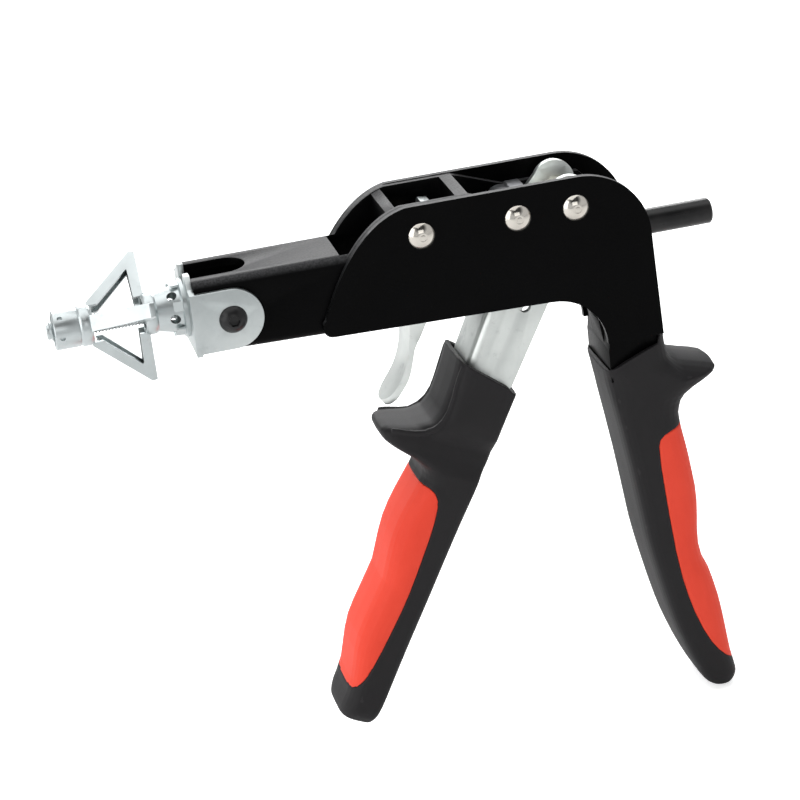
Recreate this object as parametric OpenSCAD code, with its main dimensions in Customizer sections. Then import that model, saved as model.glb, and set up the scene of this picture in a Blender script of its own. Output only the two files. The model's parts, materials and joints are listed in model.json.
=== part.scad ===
// Hollow wall anchor setting tool with a set M6 anchor in its jaw.
// The pull axis is the X axis, the nose points to -X and +Z is up.
// The origin is the centre of the nose plate's front face, where an anchor's flange seats.

/* [Body] */
// Thickness of the casting's side walls
wall_t = 2.2; // [1.8:0.1:3]
// Thickness of each outer side plate
plate_t = 2; // [1.5:0.1:3]
// Height of the body's top edge above the pull axis
body_top_z = 23.1; // [22.6:0.1:26]
// Depth of the body's lower edge below the pull axis, at the nose
body_low_z = 12; // [11.5:0.1:13]
// Slope of the body's lower edge in degrees
low_slope = 1.6; // [0:0.1:2.5]
// Distance from the nose to the top of the side plate's curved front edge
front_shoulder_x = 67.6; // [66.5:0.1:69]
// Radius of the side plate's rear shoulder
shoulder_r = 22; // [20:0.5:24]
// Radius of the hollow in front of the rear grip
hollow_r = 16.7; // [15:0.1:17.5]
// Distance from the nose to the side plate's rear edge
body_rear_x = 143; // [141:0.5:148]

/* [Barrel] */
// Height of the barrel's top face above the pull axis
barrel_top_z = 10.8; // [10.2:0.1:12]
// Thickness of the barrel's top and bottom walls
barrel_web_t = 2.4; // [1.8:0.1:2.6]
// Radius of the barrel's long corners
barrel_corner_r = 3; // [1.5:0.1:4]
// Distance from the nose to the end of the barrel's top wall
barrel_web_end_x = 47; // [44:0.5:52]
// Width of the slot that a screw head drops in through
head_slot_w = 13.6; // [13:0.1:15]
// Distance from the nose to the round end of that slot
head_slot_end_x = 19.8; // [18:0.2:24]

/* [Nose bracket] */
// Sheet thickness of the nose bracket
nose_t = 1.8; // [1.5:0.1:2.2]
// Radius of the rounded ears
ear_r = 9.4; // [8:0.1:10]
// Distance from the nose to the ear screws
ear_x = 12.2; // [11:0.1:14]
// Depth of the ear screws below the pull axis
ear_low = 1.6; // [0:0.1:2]
// Width of the nose slot that the screw shank drops into
shank_slot_w = 8.4; // [7:0.1:9]
// Height of the two prongs above the pull axis
prong_z = 12; // [10.5:0.1:13]
// Head diameter of the ear screws
ear_screw_head_d = 8.6; // [7:0.1:9.5]
// Shank diameter of the ear screws
ear_screw_d = 5; // [3:0.1:5.5]

/* [Rivets] */
// Height of the three rivets above the pull axis
rivet_z = 13.5; // [13:0.1:14]
// Distance from the nose to the trigger's rivet
trigger_rivet_x = 71.8; // [71:0.1:73]
// Distance from the nose to the middle rivet
middle_rivet_x = 101.8; // [101:0.1:102.5]
// Distance from the nose to the lever's rivet
lever_rivet_x = 120; // [119:0.1:121]
// Diameter of the rivet shanks
rivet_d = 6; // [5:0.1:6.4]
// Diameter of the domed rivet heads
rivet_head_d = 8.3; // [7.5:0.1:9.5]
// Height of the domed rivet heads
rivet_head_h = 2; // [1.2:0.1:2.6]

/* [Pull rod and claw] */
// Diameter of the pull rod
rod_d = 8; // [7:0.1:8.4]
// Length of rod that stands out behind the body at rest
rod_tail = 23.2; // [15:0.2:40]
// Stroke of the rod from a loaded anchor to a set one
rod_travel = 24.5; // [20:0.5:25]
// Outer diameter of the claw
claw_d = 15.6; // [14.5:0.1:16]
// Thickness of the claw's front lip
claw_lip_t = 3; // [2.2:0.1:3.5]
// Length of the claw's solid shank behind the screw head
claw_shank = 11.6; // [9:0.1:14]
// Diameter of the pin that joins the claw and the rod
claw_pin_d = 3; // [2:0.1:4]

/* [Lever and grips] */
// Outer width of the lever channel
lever_w = 19.5; // [18.2:0.1:22]
// Sheet thickness of the lever channel
lever_t = 2; // [1.5:0.1:2.5]
// Lean of the lever and of the front grip from upright, in degrees
lever_lean = 26.1; // [25.5:0.1:26.6]
// Radius of the lever's rounded top end
lever_hub_r = 6.6; // [6.2:0.1:7]
// Diameter of the drive pin
drive_pin_d = 4.4; // [3.6:0.1:4.6]
// Width of both grips across the flat sides
grip_w = 28; // [26:0.5:32]
// Depth of the red inserts in the grips
insert_t = 1.2; // [0.8:0.1:1.4]
// Swing of the lever when the hand closes, in degrees
lever_swing = 18; // [10:0.5:18]

/* [Clutch] */
// Thickness of each drive plate
drive_plate_t = 1.7; // [1.4:0.1:2]
// Thickness of the lock plate
lock_plate_t = 3; // [2.4:0.1:3.2]
// Lean of the lock plate when it grips, in degrees
lock_lean = 6; // [4:0.5:7]
// Width of the lock plate
lock_plate_w = 12.8; // [11:0.1:13]
// Wire diameter of the springs
spring_wire_d = 1.2; // [0.8:0.1:1.4]

/* [Release trigger] */
// Outer width of the release trigger
trigger_w = 17; // [16:0.1:18]
// Sheet thickness of the release trigger
trigger_t = 1.6; // [1.2:0.1:1.8]
// Width of the trigger's finger face
finger_w = 13.4; // [12.4:0.1:14.4]
// Radius of the trigger's ears
trigger_ear_r = 4.8; // [4.4:0.1:6]

/* [Anchor] */
// Outer diameter of the anchor's sleeve
sleeve_d = 12; // [11:0.1:13]
// Thread diameter of the anchor's screw
screw_d = 6; // [5:0.1:6]
// Diameter of the anchor's flange
flange_d = 18; // [16:0.1:20]
// Thickness of the anchor's flange
flange_t = 1.2; // [0.8:0.1:1.6]
// Distance from the nose to the front of the folded legs
leg_front = 28.5; // [26:0.5:32]
// Distance from the nose to the rear of the folded legs
leg_rear = 12.7; // [12:0.1:14]
// Radius that the folded legs reach
leg_peak_r = 22; // [18:0.5:24]
// Width of each leg
leg_w = 5; // [4:0.1:6]
// Thickness of each leg
leg_t = 1.1; // [0.8:0.1:1.4]
// Depth of the stiffening flanges along both edges of each leg
leg_flange = 3.1; // [2:0.1:3.6]
// Length of the nut's collar
collar_l = 11.6; // [10:0.1:13]
// Diameter of the screw's head
screw_head_d = 12; // [10:0.1:12.4]
// Height of the screw's head
screw_head_h = 3.8; // [3:0.1:4]
// Length of the screw's thread past the nut's collar
screw_tip = 1.9; // [1:0.1:4]

/* [Hidden] */
$fn = 64;

// Clearances: between pieces that slide, between a shaft and its bore, and between
// pieces that are fastened together.
slide_gap = 0.25;
run_gap = 0.06;
seat_gap = 0.02;
cut = 1;

inner_w = lever_w + 2 * slide_gap;
drive_plate_w = lever_w - 2 * lever_t - 6 * slide_gap;
casting_y = inner_w / 2 + wall_t;
body_y = casting_y + plate_t;
cavity_top_z = barrel_top_z - barrel_web_t;
cavity_low_z = -body_low_z + barrel_web_t;
rod_end_x = body_rear_x + rod_tail;
ear_y = casting_y + slide_gap / 2 + nose_t;
plate_low_front_z = -body_low_z - 1.1;
front_edge = [[38.6, -11], [43.9, 3.5], [front_shoulder_x - 14.5, body_top_z - 2.6],
              [front_shoulder_x, body_top_z]];
front_steps = 24;
hollow = [109.6, -31.8];
plate_end_z = -32;

// Claw and screw head along the pull axis
head_x = 30.5;
claw_front_x = head_x - claw_lip_t;
claw_pocket_l = screw_head_h + 0.5;
claw_rear_x = head_x + claw_pocket_l + claw_shank;
claw_pin_x = claw_rear_x - claw_shank / 3;
rod_front_x = head_x + claw_pocket_l + 2;

// Lever frame: x runs towards the rear and z up along the lever, from the grip's top
// rear corner
lever_origin = [95.2, 0, -43.5];
lever_front = -16.5;
lever_web_top = 33.7;
drive_pin_z = -9;
drive_gap = 0.1;
drive_face_x = middle_rivet_x + rivet_d / 2 + 1.2;
drive_pin_x = drive_face_x - drive_gap - drive_pin_d / 2;
drive_rear_x = drive_face_x + 2 * drive_plate_t + 0.1;
lock_face_x = trigger_rivet_x + rivet_d / 2 + 0.1;
rib_front_x = 62.5;
rib_front_t = 2.9;
rib_rear_x = 84.1;
rib_rear_t = 3.9;
root_half = casting_y - 0.4;
guide_x = 128;
guide_t = 6;
lever_bush_d = 8;
lever_top = [lever_rivet_x - 0.5, rivet_z + 2.4];
plate_hole_d = rod_d + 0.8;

// Places a flat outline, drawn in x and z, between y0 and y1.
module side(y0, y1) {
    translate([0, y1, 0])
        rotate([90, 0, 0])
            linear_extrude(y1 - y0)
                children();
}

// Places a flat outline, drawn in y and z, between x0 and x1.
module along_x(x0, x1) {
    translate([x0, 0, 0])
        rotate([90, 0, 90])
            linear_extrude(x1 - x0)
                children();
}

module rod_x(x0, x1, r) {
    translate([x0, 0, 0])
        rotate([0, 90, 0])
            cylinder(r = r, h = x1 - x0);
}

module rod_y(x, z, y0, y1, r) {
    translate([x, y1, z])
        rotate([90, 0, 0])
            cylinder(r = r, h = y1 - y0);
}

// Turns a profile of [radius, x] points about the pull axis.
module turned_x(profile) {
    rotate([0, 90, 0])
        rotate_extrude()
            polygon(profile);
}

module both_sides() {
    children();
    mirror([0, 1, 0])
        children();
}

module rounded_box(w, low, high, r) {
    for (y = [-w / 2 + r, w / 2 - r])
        for (z = [low + r, high - r])
            translate([y, z])
                circle(r);
    translate([-w / 2 + r, low])
        square([w - 2 * r, high - low]);
    translate([-w / 2, low + r])
        square([w, high - low - 2 * r]);
}

// Height of the body's lower edge at a distance from the nose
function low_z(x) = plate_low_front_z - (x - 40) * tan(low_slope);

// Point of a smooth curve with four control points.
function bezier(p, t) = pow(1 - t, 3) * p[0] + 3 * t * pow(1 - t, 2) * p[1]
                        + 3 * t * t * (1 - t) * p[2] + pow(t, 3) * p[3];

// Outline of a side plate: curved front edge, flat top, round shoulder behind and a
// round hollow ahead of the rear grip.
module plate_outline() {
    corner_r = 3;
    corner_x = 41.7;
    middle_x = front_shoulder_x + 8;
    difference() {
        union() {
            polygon(concat([for (i = [1:front_steps]) bezier(front_edge, i / front_steps)],
                           [[middle_x, body_top_z], [middle_x, low_z(middle_x)],
                            [corner_x, low_z(corner_x)]]));
            translate([corner_x, low_z(corner_x) + corner_r])
                circle(corner_r);
            polygon([[middle_x - cut, low_z(middle_x - cut)],
                     [hollow.x, low_z(hollow.x)],
                     [hollow.x, plate_end_z],
                     [body_rear_x + 1.2, plate_end_z],
                     [body_rear_x, body_top_z - shoulder_r],
                     [body_rear_x - shoulder_r, body_top_z - shoulder_r],
                     [body_rear_x - shoulder_r, body_top_z],
                     [middle_x - cut, body_top_z]]);
            translate([body_rear_x - shoulder_r, body_top_z - shoulder_r])
                circle(shoulder_r, $fn = 120);
        }
        hollow_cut(hollow_r);
    }
}

// The round hollow ahead of the rear grip, and all that lies before and below it.
module hollow_cut(r) {
    translate(hollow)
        circle(r, $fn = 96);
    translate([hollow.x - r - 20, plate_end_z - 30])
        square([2 * r + 20, 30 + plate_end_z - plate_end_z]);
    translate([hollow.x - 20, plate_end_z - cut])
        square([20 + r, cut + hollow.y - plate_end_z]);
    polygon([[hollow.x + 0.01, low_z(hollow.x)],
             [hollow.x + 0.01, plate_end_z - cut],
             [hollow.x - 20, plate_end_z - cut],
             [hollow.x - 20, low_z(hollow.x - 20) - 0.01],
             [hollow.x, low_z(hollow.x) - 0.01]]);
}

module side_plate() {
    difference() {
        side(-body_y, -casting_y)
            plate_outline();
        for (x = [trigger_rivet_x, middle_rivet_x, lever_rivet_x])
            rod_y(x, rivet_z, -body_y - cut, -casting_y + cut, rivet_d / 2 + seat_gap);
    }
}

module side_plate_near() {
    color([0.05, 0.05, 0.055])
        side_plate();
}

module side_plate_far() {
    color([0.05, 0.05, 0.055])
        mirror([0, 1, 0])
            side_plate();
}

// Side wall of the casting: the plate's outline, stepped down behind the rear rib and
// cut short ahead of the plate's rear edge.
module casting_wall_outline() {
    difference() {
        intersection() {
            plate_outline();
            polygon([[barrel_web_end_x - 7, -40], [body_rear_x - 2.5, -40],
                     [body_rear_x - 2.5, 4], [guide_x, 17], [lever_rivet_x - 16, 17],
                     [rib_rear_x + rib_rear_t, body_top_z - 0.2],
                     [barrel_web_end_x - 7, body_top_z - 0.2]]);
        }
        translate(hollow)
            circle(hollow_r + 1, $fn = 96);
    }
}

// The barrel's shell: level on top and sloped below. The sloped form is a hair wider, so
// that the two don't share their side faces.
module barrel_shell() {
    barrel_end_x = barrel_web_end_x + 5;
    intersection() {
        along_x(nose_t, barrel_end_x)
            rounded_box(2 * casting_y, -3 * body_low_z, barrel_top_z, barrel_corner_r);
        rotate([0, low_slope, 0])
            along_x(-5, barrel_end_x + 5)
                rounded_box(2 * casting_y + 4 * seat_gap, -body_low_z, 3 * barrel_top_z,
                            barrel_corner_r);
    }
}

module barrel_cavity() {
    translate([nose_t - cut, -inner_w / 2, cavity_low_z])
        cube([barrel_web_end_x + 20, inner_w, cavity_top_z - cavity_low_z]);
    // open top behind the barrel's top wall
    translate([barrel_web_end_x, -inner_w / 2, 0])
        cube([20, inner_w, 40]);
    // slot for the screw head, open to the front
    translate([0, 0, cavity_top_z - cut])
        linear_extrude(barrel_web_t + 2 * cut) {
            translate([0, -head_slot_w / 2])
                square([head_slot_end_x - head_slot_w / 2, head_slot_w]);
            translate([head_slot_end_x - head_slot_w / 2, 0])
                circle(head_slot_w / 2);
        }
}

// Outline of the block that fills the rear grip's mouth, grown by a gap.
module root_outline(gap) {
    polygon([[126.9 - gap, -46 - gap], [126.9 - gap, -31], [hollow.x + 12, -21],
             [body_rear_x - 2.5, -21], [body_rear_x - 2.5, -30.5],
             [body_rear_x - 0.4 + gap, -32.6], [body_rear_x - 0.2 + gap, -38],
             [body_rear_x - 2 + gap, -46 - gap]]);
}

// Steel-cored tang that carries the rear grip.
module tang() {
    side(-6, 6)
        polygon([[126, -27], [140, -27], [140.5, -45], [141, -62], [145, -95],
                 [148, -118], [152, -138], [147.5, -139], [141, -118], [136, -95],
                 [130.5, -62], [128.5, -45]]);
}

module cross_ribs() {
    half = inner_w / 2 + wall_t / 2;
    intersection() {
        translate([rib_front_x, -half, 9])
            cube([rib_front_t, 2 * half, body_top_z]);
        translate([0, 0, -0.2])
            side(-half - cut, half + cut)
                plate_outline();
    }
    translate([rib_rear_x, -half, -8])
        cube([rib_rear_t, 2 * half, body_top_z - 0.2 + 8]);
    translate([guide_x, -half, -9])
        cube([guide_t, 2 * half, 18]);
}

module frame_casting() {
    color([0.055, 0.055, 0.06])
        difference() {
            union() {
                difference() {
                    barrel_shell();
                    barrel_cavity();
                }
                both_sides()
                    side(inner_w / 2, casting_y)
                        casting_wall_outline();
                cross_ribs();
                // root of the tang, hollowed in front to stop the lever
                side(-root_half, root_half)
                    difference() {
                        root_outline(0);
                        translate(hollow)
                            circle(hollow_r + 1, $fn = 96);
                    }
                tang();
            }
            rod_x(rib_rear_x - cut, guide_x + guide_t + cut, rod_d / 2 + run_gap);
            for (x = [trigger_rivet_x, middle_rivet_x, lever_rivet_x])
                rod_y(x, rivet_z, -casting_y - cut, casting_y + cut, rivet_d / 2 + seat_gap);
            rod_y(ear_x, -ear_low, -casting_y - cut, casting_y + cut, ear_screw_d / 2 + seat_gap);
        }
}

// Nose bracket: a slotted front plate with two prongs and two round-ended ears.
module nose_bracket() {
    shoulder_z = ear_r - ear_low;
    prong_y = 9.6;
    color([0.78, 0.8, 0.82])
        difference() {
            union() {
                along_x(0, nose_t)
                    difference() {
                        polygon([[-ear_y, -body_low_z + 0.3], [ear_y, -body_low_z + 0.3],
                                 [ear_y, shoulder_z], [prong_y + 1, shoulder_z + 0.8],
                                 [prong_y, prong_z - 2], [prong_y - 2, prong_z],
                                 [-prong_y + 2, prong_z], [-prong_y, prong_z - 2],
                                 [-prong_y - 1, shoulder_z + 0.8], [-ear_y, shoulder_z]]);
                        circle(shank_slot_w / 2);
                        translate([-shank_slot_w / 2, 0])
                            square([shank_slot_w, prong_z + cut]);
                    }
                both_sides()
                    side(ear_y - nose_t, ear_y) {
                        translate([0, -ear_r - ear_low])
                            square([ear_x, 2 * ear_r]);
                        translate([ear_x, -ear_low])
                            circle(ear_r);
                    }
            }
            rod_y(ear_x, -ear_low, -ear_y - cut, ear_y + cut, ear_screw_d / 2 + 0.2);
        }
}

// Two button-head socket screws that hold the bracket's ears to the casting.
module bracket_screws() {
    head_h = 2.6;
    head_r = ear_screw_head_d / 2;
    dome_r = (head_r * head_r + head_h * head_h) / (2 * head_h);
    color([0.13, 0.12, 0.13])
        both_sides()
            difference() {
                union() {
                    intersection() {
                        translate([ear_x, ear_y + head_h - dome_r, -ear_low])
                            sphere(dome_r);
                        rod_y(ear_x, -ear_low, ear_y + seat_gap, ear_y + head_h + cut, head_r);
                    }
                    rod_y(ear_x, -ear_low, inner_w / 2 - 0.2, ear_y + 0.5, ear_screw_d / 2);
                }
                translate([ear_x, ear_y + head_h + cut, -ear_low])
                    rotate([90, 0, 0])
                        cylinder(r = 1.75, h = cut + 1.6, $fn = 6);
            }
}

// Domed rivet through both plates, headed on both sides, with a small pressed centre.
module rivet(x) {
    head_r = rivet_head_d / 2;
    dome_r = (head_r * head_r + rivet_head_h * rivet_head_h) / (2 * rivet_head_h);
    color([0.86, 0.84, 0.8])
        difference() {
            union() {
                rod_y(x, rivet_z, -body_y - 0.5, body_y + 0.5, rivet_d / 2);
                both_sides()
                    intersection() {
                        translate([x, body_y + rivet_head_h - dome_r, rivet_z])
                            sphere(dome_r, $fn = 96);
                        rod_y(x, rivet_z, body_y + seat_gap, body_y + rivet_head_h + cut, head_r);
                    }
            }
            both_sides()
                difference() {
                    rod_y(x, rivet_z, body_y + rivet_head_h - 0.25, body_y + 4, 1.3);
                    rod_y(x, rivet_z, body_y, body_y + 5, 0.8);
                }
        }
}

module trigger_rivet() {
    rivet(trigger_rivet_x);
}

module middle_rivet() {
    rivet(middle_rivet_x);
}

module lever_rivet() {
    rivet(lever_rivet_x);
}

// Block on the middle rivet: it stops the drive plates when they return.
module middle_spacer() {
    half = lever_w / 2 - lever_t - slide_gap;
    rear_x = drive_face_x - drive_gap;
    low = rivet_z - lever_bush_d / 2 + 0.4;
    color([0.3, 0.31, 0.32])
        difference() {
            side(-half, half) {
                translate([middle_rivet_x, rivet_z])
                    circle(4.6);
                polygon([[middle_rivet_x - 3.6, 6], [rear_x, 5], [rear_x, low],
                         [rear_x + 2.3, low], [rear_x + 2.3, 18.8], [rear_x - 2.2, 18.8],
                         [rear_x - 2.9, 17.3], [middle_rivet_x - 3.6, 13]]);
            }
            rod_y(middle_rivet_x, rivet_z, -half - cut, half + cut, rivet_d / 2 + run_gap);
        }
}

// Rings of points for the moulded grips. Each ring is a rounded rectangle; a low
// exponent makes its front or its rear rounder.
function corner(t, e) = sign(t) * pow(abs(t), 2 / e);
function smooth(x, line) = (lookup(x - 1, line) + 2 * lookup(x, line) + lookup(x + 1, line)) / 4;
ring_n = 28;
function ring(front, rear, half, front_e, rear_e, level) =
    let (mid = (front + rear) / 2, reach = (rear - front) / 2)
        [for (i = [0:ring_n - 1])
            let (a = 360 * i / ring_n, e = cos(a) < 0 ? front_e : rear_e)
                [mid + reach * corner(cos(a), e), half * corner(sin(a), 4.5), level]];

// Solid through a list of rings that run upwards.
module loft(rings) {
    n = len(rings[0]);
    m = len(rings);
    side_faces = [for (i = [0:m - 2])
                     for (j = [0:n - 1])
                         [i * n + j, (i + 1) * n + j, (i + 1) * n + (j + 1) % n, i * n + (j + 1) % n]];
    low_face = [for (j = [0:n - 1]) j];
    high_face = [for (j = [n - 1:-1:0]) (m - 1) * n + j];
    polyhedron([for (r = rings) for (p = r) p],
               concat(side_faces, [low_face, high_face]), convexity = 6);
}

// Moves the lever's own frame to its place in the tool.
module lever_frame() {
    translate(lever_origin)
        rotate([0, lever_lean, 0])
            children();
}

// Front edge of the front grip, as [height, depth] in the lever's frame: the rim, the
// finger guard, the finger hollows and the foot.
grip_front_line = [[-117.3, -16.1], [-116.6, -16.2], [-115.3, -16.5], [-113.3, -16.4],
                   [-110, -16.2], [-105, -16.4], [-100, -17.6], [-95, -18.8], [-90, -19.5],
                   [-85.5, -19.4], [-81, -19], [-70, -18.1], [-61, -19.5], [-53, -20.2],
                   [-45, -19.3], [-38, -18.1], [-33.8, -17.4], [-30.8, -18.4], [-28.7, -21],
                   [-27.1, -29.5], [-25.7, -34], [-23, -35.6], [-21.2, -34.5],
                   [-20.2, -30], [-19.2, -25.1], [-16.6, -20.9], [-12, -19], [-8, -19],
                   [0, -19.2], [6, -19.9], [10, -20.9]];
grip_rear_line = [[-117.3, -5.6], [-116.6, -5], [-115.3, -4.6], [-113.3, -4.3], [-110, -3.9],
                  [-105, -3.7], [-65, -1.6], [-45, -0.5], [-29, 0.6], [-24, 1.7],
                  [-19, 1.9], [-12, 1.6], [0, 2.1], [10, 2.3]];
grip_half_line = [[-117.3, -2.8], [-116.1, -1.9], [-114.3, -0.4], [-111.7, 0], [-30, 0],
                  [-25, -1.5], [-20, -2.5], [-16, -0.5], [-12, 0], [10, 0]];
grip_front_e = [[-117.3, 2.6], [-112, 2.8], [-106, 3], [-98, 2.6], [-34, 2.2], [-26, 3.6],
                [10, 4]];
grip_levels = concat([-117.3, -116.8, -116, -114.8, -113, -110],
                     [for (z = [-105:5:-40]) z], [for (z = [-36:2:-28]) z],
                     [for (z = [-26.8:0.9:-18]) z], [-16, -14, -12, -9, -5, 0, 4, 10]);

module front_grip_form(inset) {
    loft([for (z = grip_levels)
             ring(smooth(z, grip_front_line) + inset, smooth(z, grip_rear_line) - inset,
                  grip_w / 2 + lookup(z, grip_half_line) - inset,
                  lookup(z, grip_front_e), 6, z)]);
}

// Outline of the front grip's red insert, in the lever's frame.
module front_insert_outline() {
    polygon([[-60, -37.2], [-19, -36.4], [-17, -35.9], [-15, -36], [-13.2, -36.9],
             [-11.8, -38.7], [-11, -41.3], [-10.4, -46], [-10.1, -52], [-10, -64],
             [-10.1, -71], [-10.5, -77], [-11.2, -84], [-12, -91], [-12.9, -97],
             [-13.6, -101], [-14.4, -103.8], [-15.3, -106], [-16.2, -107.7], [-17, -109.8],
             [-18.4, -111.8], [-60, -113]]);
}

module lever_outline() {
    hub = [-4.4, 64.1];
    polygon([[lever_front, -92], [lever_front, lever_web_top], [-15.3, 49.3],
             [hub.x - 0.95 * lever_hub_r * cos(16), hub.y + 0.95 * lever_hub_r * sin(16)],
             [hub.x + 1 + 0.9 * lever_hub_r, hub.y - 3],
             [1.2, 29.8], [-0.5, 1.7], [-3, -3], [-4.5, -92]]);
}

// Pressed channel with its web to the front; the web ends below the pull rod.
module lever_channel() {
    bend_r = 3;
    half = lever_w / 2;
    intersection() {
        difference() {
            side(-half, half)
                lever_outline();
            side(-half + lever_t, half - lever_t)
                polygon([[lever_front + lever_t, -93], [lever_front + lever_t, lever_web_top],
                         [lever_front - cut, lever_web_top], [lever_front - cut, 80],
                         [20, 80], [20, -93]]);
        }
        translate([0, 0, -93])
            linear_extrude(180) {
                translate([lever_front + bend_r, -half])
                    square([40, lever_w]);
                translate([lever_front, -half + bend_r])
                    square([40, lever_w - 2 * bend_r]);
                for (y = [-half + bend_r, half - bend_r])
                    translate([lever_front + bend_r, y])
                        circle(bend_r);
            }
    }
}

module front_lever() {
    color([0.8, 0.82, 0.82])
        difference() {
            union() {
                lever_frame()
                    lever_channel();
                // rounded top ends, a hair inside the walls' faces
                both_sides()
                    side(lever_w / 2 - lever_t + seat_gap, lever_w / 2 - seat_gap) {
                        translate(lever_top)
                            circle(lever_hub_r);
                        translate([lever_rivet_x, rivet_z])
                            circle(lever_hub_r - 0.4);
                    }
            }
            rod_y(lever_rivet_x, rivet_z, -lever_w, lever_w, rivet_d / 2 + run_gap);
            rod_y(drive_pin_x, drive_pin_z, -lever_w, lever_w, drive_pin_d / 2 + seat_gap);
            rod_y(102.2, -16.5, -lever_w, lever_w, 1.9);
        }
}

// Bush on the lever's rivet that keeps the lever's walls apart.
module lever_bush() {
    half = lever_w / 2 - lever_t - seat_gap;
    color([0.85, 0.84, 0.82])
        difference() {
            rod_y(lever_rivet_x, rivet_z, -half, half, lever_bush_d / 2);
            rod_y(lever_rivet_x, rivet_z, -half - cut, half + cut, rivet_d / 2 + run_gap);
        }
}

module drive_pin() {
    color([0.7, 0.7, 0.7])
        rod_y(drive_pin_x, drive_pin_z, -lever_w / 2, lever_w / 2, drive_pin_d / 2);
}

// Space that the lever's channel fills inside the front grip.
module lever_pocket() {
    half = lever_w / 2 + seat_gap;
    side(-half, half)
        polygon([[lever_front - seat_gap, -92.1], [lever_front - seat_gap, 20], [20, 20],
                 [-0.3, 1.7], [-2.9, -3], [-4.4, -92.1]]);
}

module front_grip() {
    rim_front = 8.4;
    color([0.16, 0.155, 0.16])
        lever_frame()
            difference() {
                front_grip_form(0);
                lever_pocket();
                // slanted rim at the top
                side(-30, 30)
                    polygon([[-50, rim_front + 8.5], [-24.8, rim_front], [-17, 6], [-3.7, 2.8],
                             [-0.8, 0.8], [30, -8], [30, 40], [-50, 40]]);
                // gap between the rim and the lever's web
                side(-lever_w / 2 - 0.3, lever_w / 2 + 0.3)
                    polygon([[lever_front - 0.9, 3.4], [lever_front - 0.9, 20],
                             [lever_front + lever_t / 2, 20], [lever_front + lever_t / 2, 2.8]]);
                difference() {
                    side(-30, 30)
                        front_insert_outline();
                    front_grip_form(insert_t);
                }
            }
}

module front_grip_insert() {
    color([0.93, 0.2, 0.12])
        lever_frame()
            difference() {
                intersection() {
                    front_grip_form(0);
                    side(-30, 30)
                        front_insert_outline();
                }
                front_grip_form(insert_t);
                lever_pocket();
            }
}

// Front and rear edges of the rear grip, as [height, distance from the nose].
rear_front_line = [[-159.2, 155.2], [-158.4, 152.6], [-156.8, 149.9], [-153, 148],
                   [-146, 145], [-138, 142.1], [-130, 139.8], [-120, 137.5], [-110, 135.4],
                   [-101, 133.8], [-92, 132.7], [-78, 130.9], [-64, 128.8], [-54, 127.1],
                   [-48, 126], [-42, 125.3], [-30, 123.8]];
rear_rear_line = [[-159.2, 157.8], [-158.4, 159.3], [-157, 160.6], [-154, 161.4],
                  [-151, 160.3], [-146, 159.5], [-139, 158.8], [-133, 158.1],
                  [-127, 157.2], [-120, 155.6], [-115, 154.1], [-112, 152.6],
                  [-106, 151.7], [-100, 152], [-94, 152.6], [-87, 152.4], [-75, 150.9],
                  [-66, 149.3], [-61, 148.9], [-57, 150.1], [-54, 153.2], [-51.9, 158.6],
                  [-50, 162.3], [-48, 163], [-46, 160], [-44.6, 154], [-43.2, 149],
                  [-41.3, 146.6], [-38, 146], [-30, 145.7]];
rear_half_line = [[-159.2, -4], [-157.8, -1.7], [-154.7, -0.3], [-151, 0], [-30, 0]];
rear_rear_e = [[-159.2, 2.6], [-66, 3], [-57, 2.2], [-51, 1.7], [-45, 1.7], [-42, 3], [-30, 4]];
rear_levels = concat([-159.2, -158.7, -157.9, -156.6, -154.6], [for (z = [-152:5:-67]) z],
                     [for (z = [-65:2:-55]) z], [for (z = [-53:1.2:-40]) z], [-36, -30]);

module rear_grip_form(inset) {
    loft([for (z = rear_levels)
             ring(smooth(z, rear_front_line) + inset, smooth(z, rear_rear_line) - inset,
                  grip_w / 2 + lookup(z, rear_half_line) - inset, 6,
                  lookup(z, rear_rear_e), z)]);
}

// Outline of the rear grip's red insert.
module rear_insert_outline() {
    polygon([[200, -62.5], [151, -63.8], [147, -64.6], [144.3, -65.2], [141.9, -66.1],
             [140.4, -67.5], [139.8, -69.6], [139.9, -76], [140.5, -84], [141.3, -94],
             [142.5, -106.5], [143.9, -116], [145.5, -123.4], [147.2, -129.5],
             [149.5, -135.8], [151.9, -140.9], [154.4, -144.6], [156.7, -147.2],
             [159, -149.2], [162.5, -151.4], [200, -152]]);
}

module rear_grip() {
    color([0.16, 0.155, 0.16])
        difference() {
            rear_grip_form(0);
            // pocket for the tang and its root
            side(-6 - seat_gap, 6 + seat_gap)
                polygon([[125.9, -25], [140.1, -25], [140.6, -45], [141.1, -62], [145.1, -95],
                         [148.1, -118], [152.2, -138.1], [147.4, -139.1], [140.9, -118],
                         [135.9, -95], [130.4, -62], [128.4, -45]]);
            // mouth for the tang's root
            side(-root_half - 0.1, root_half + 0.1)
                root_outline(0.1);
            // slanted rim at the top
            side(-30, 30)
                polygon([[110, -42.4], [125.3, -42.4], [127.5, -41.4], [131.6, -39.5],
                         [137.9, -36.9], [142.4, -35.4], [143.2, -33], [170, -32.8],
                         [170, 0], [110, 0]]);
            difference() {
                side(-30, 30)
                    rear_insert_outline();
                rear_grip_form(insert_t);
            }
        }
}

module rear_grip_insert() {
    color([0.93, 0.2, 0.12])
        difference() {
            intersection() {
                rear_grip_form(0);
                side(-30, 30)
                    rear_insert_outline();
            }
            rear_grip_form(insert_t);
        }
}

module drive_plate(x) {
    half = drive_plate_w / 2;
    color([0.45, 0.46, 0.48])
        difference() {
            along_x(x, x + drive_plate_t)
                rounded_box(drive_plate_w, -14.5, rivet_z - lever_bush_d / 2 - 0.4, 2);
            rod_x(x - cut, x + drive_plate_t + cut, rod_d / 2 + 0.3);
        }
}

module drive_plate_front() {
    drive_plate(drive_face_x);
}

module drive_plate_rear() {
    drive_plate(drive_face_x + drive_plate_t + 0.1);
}

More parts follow.
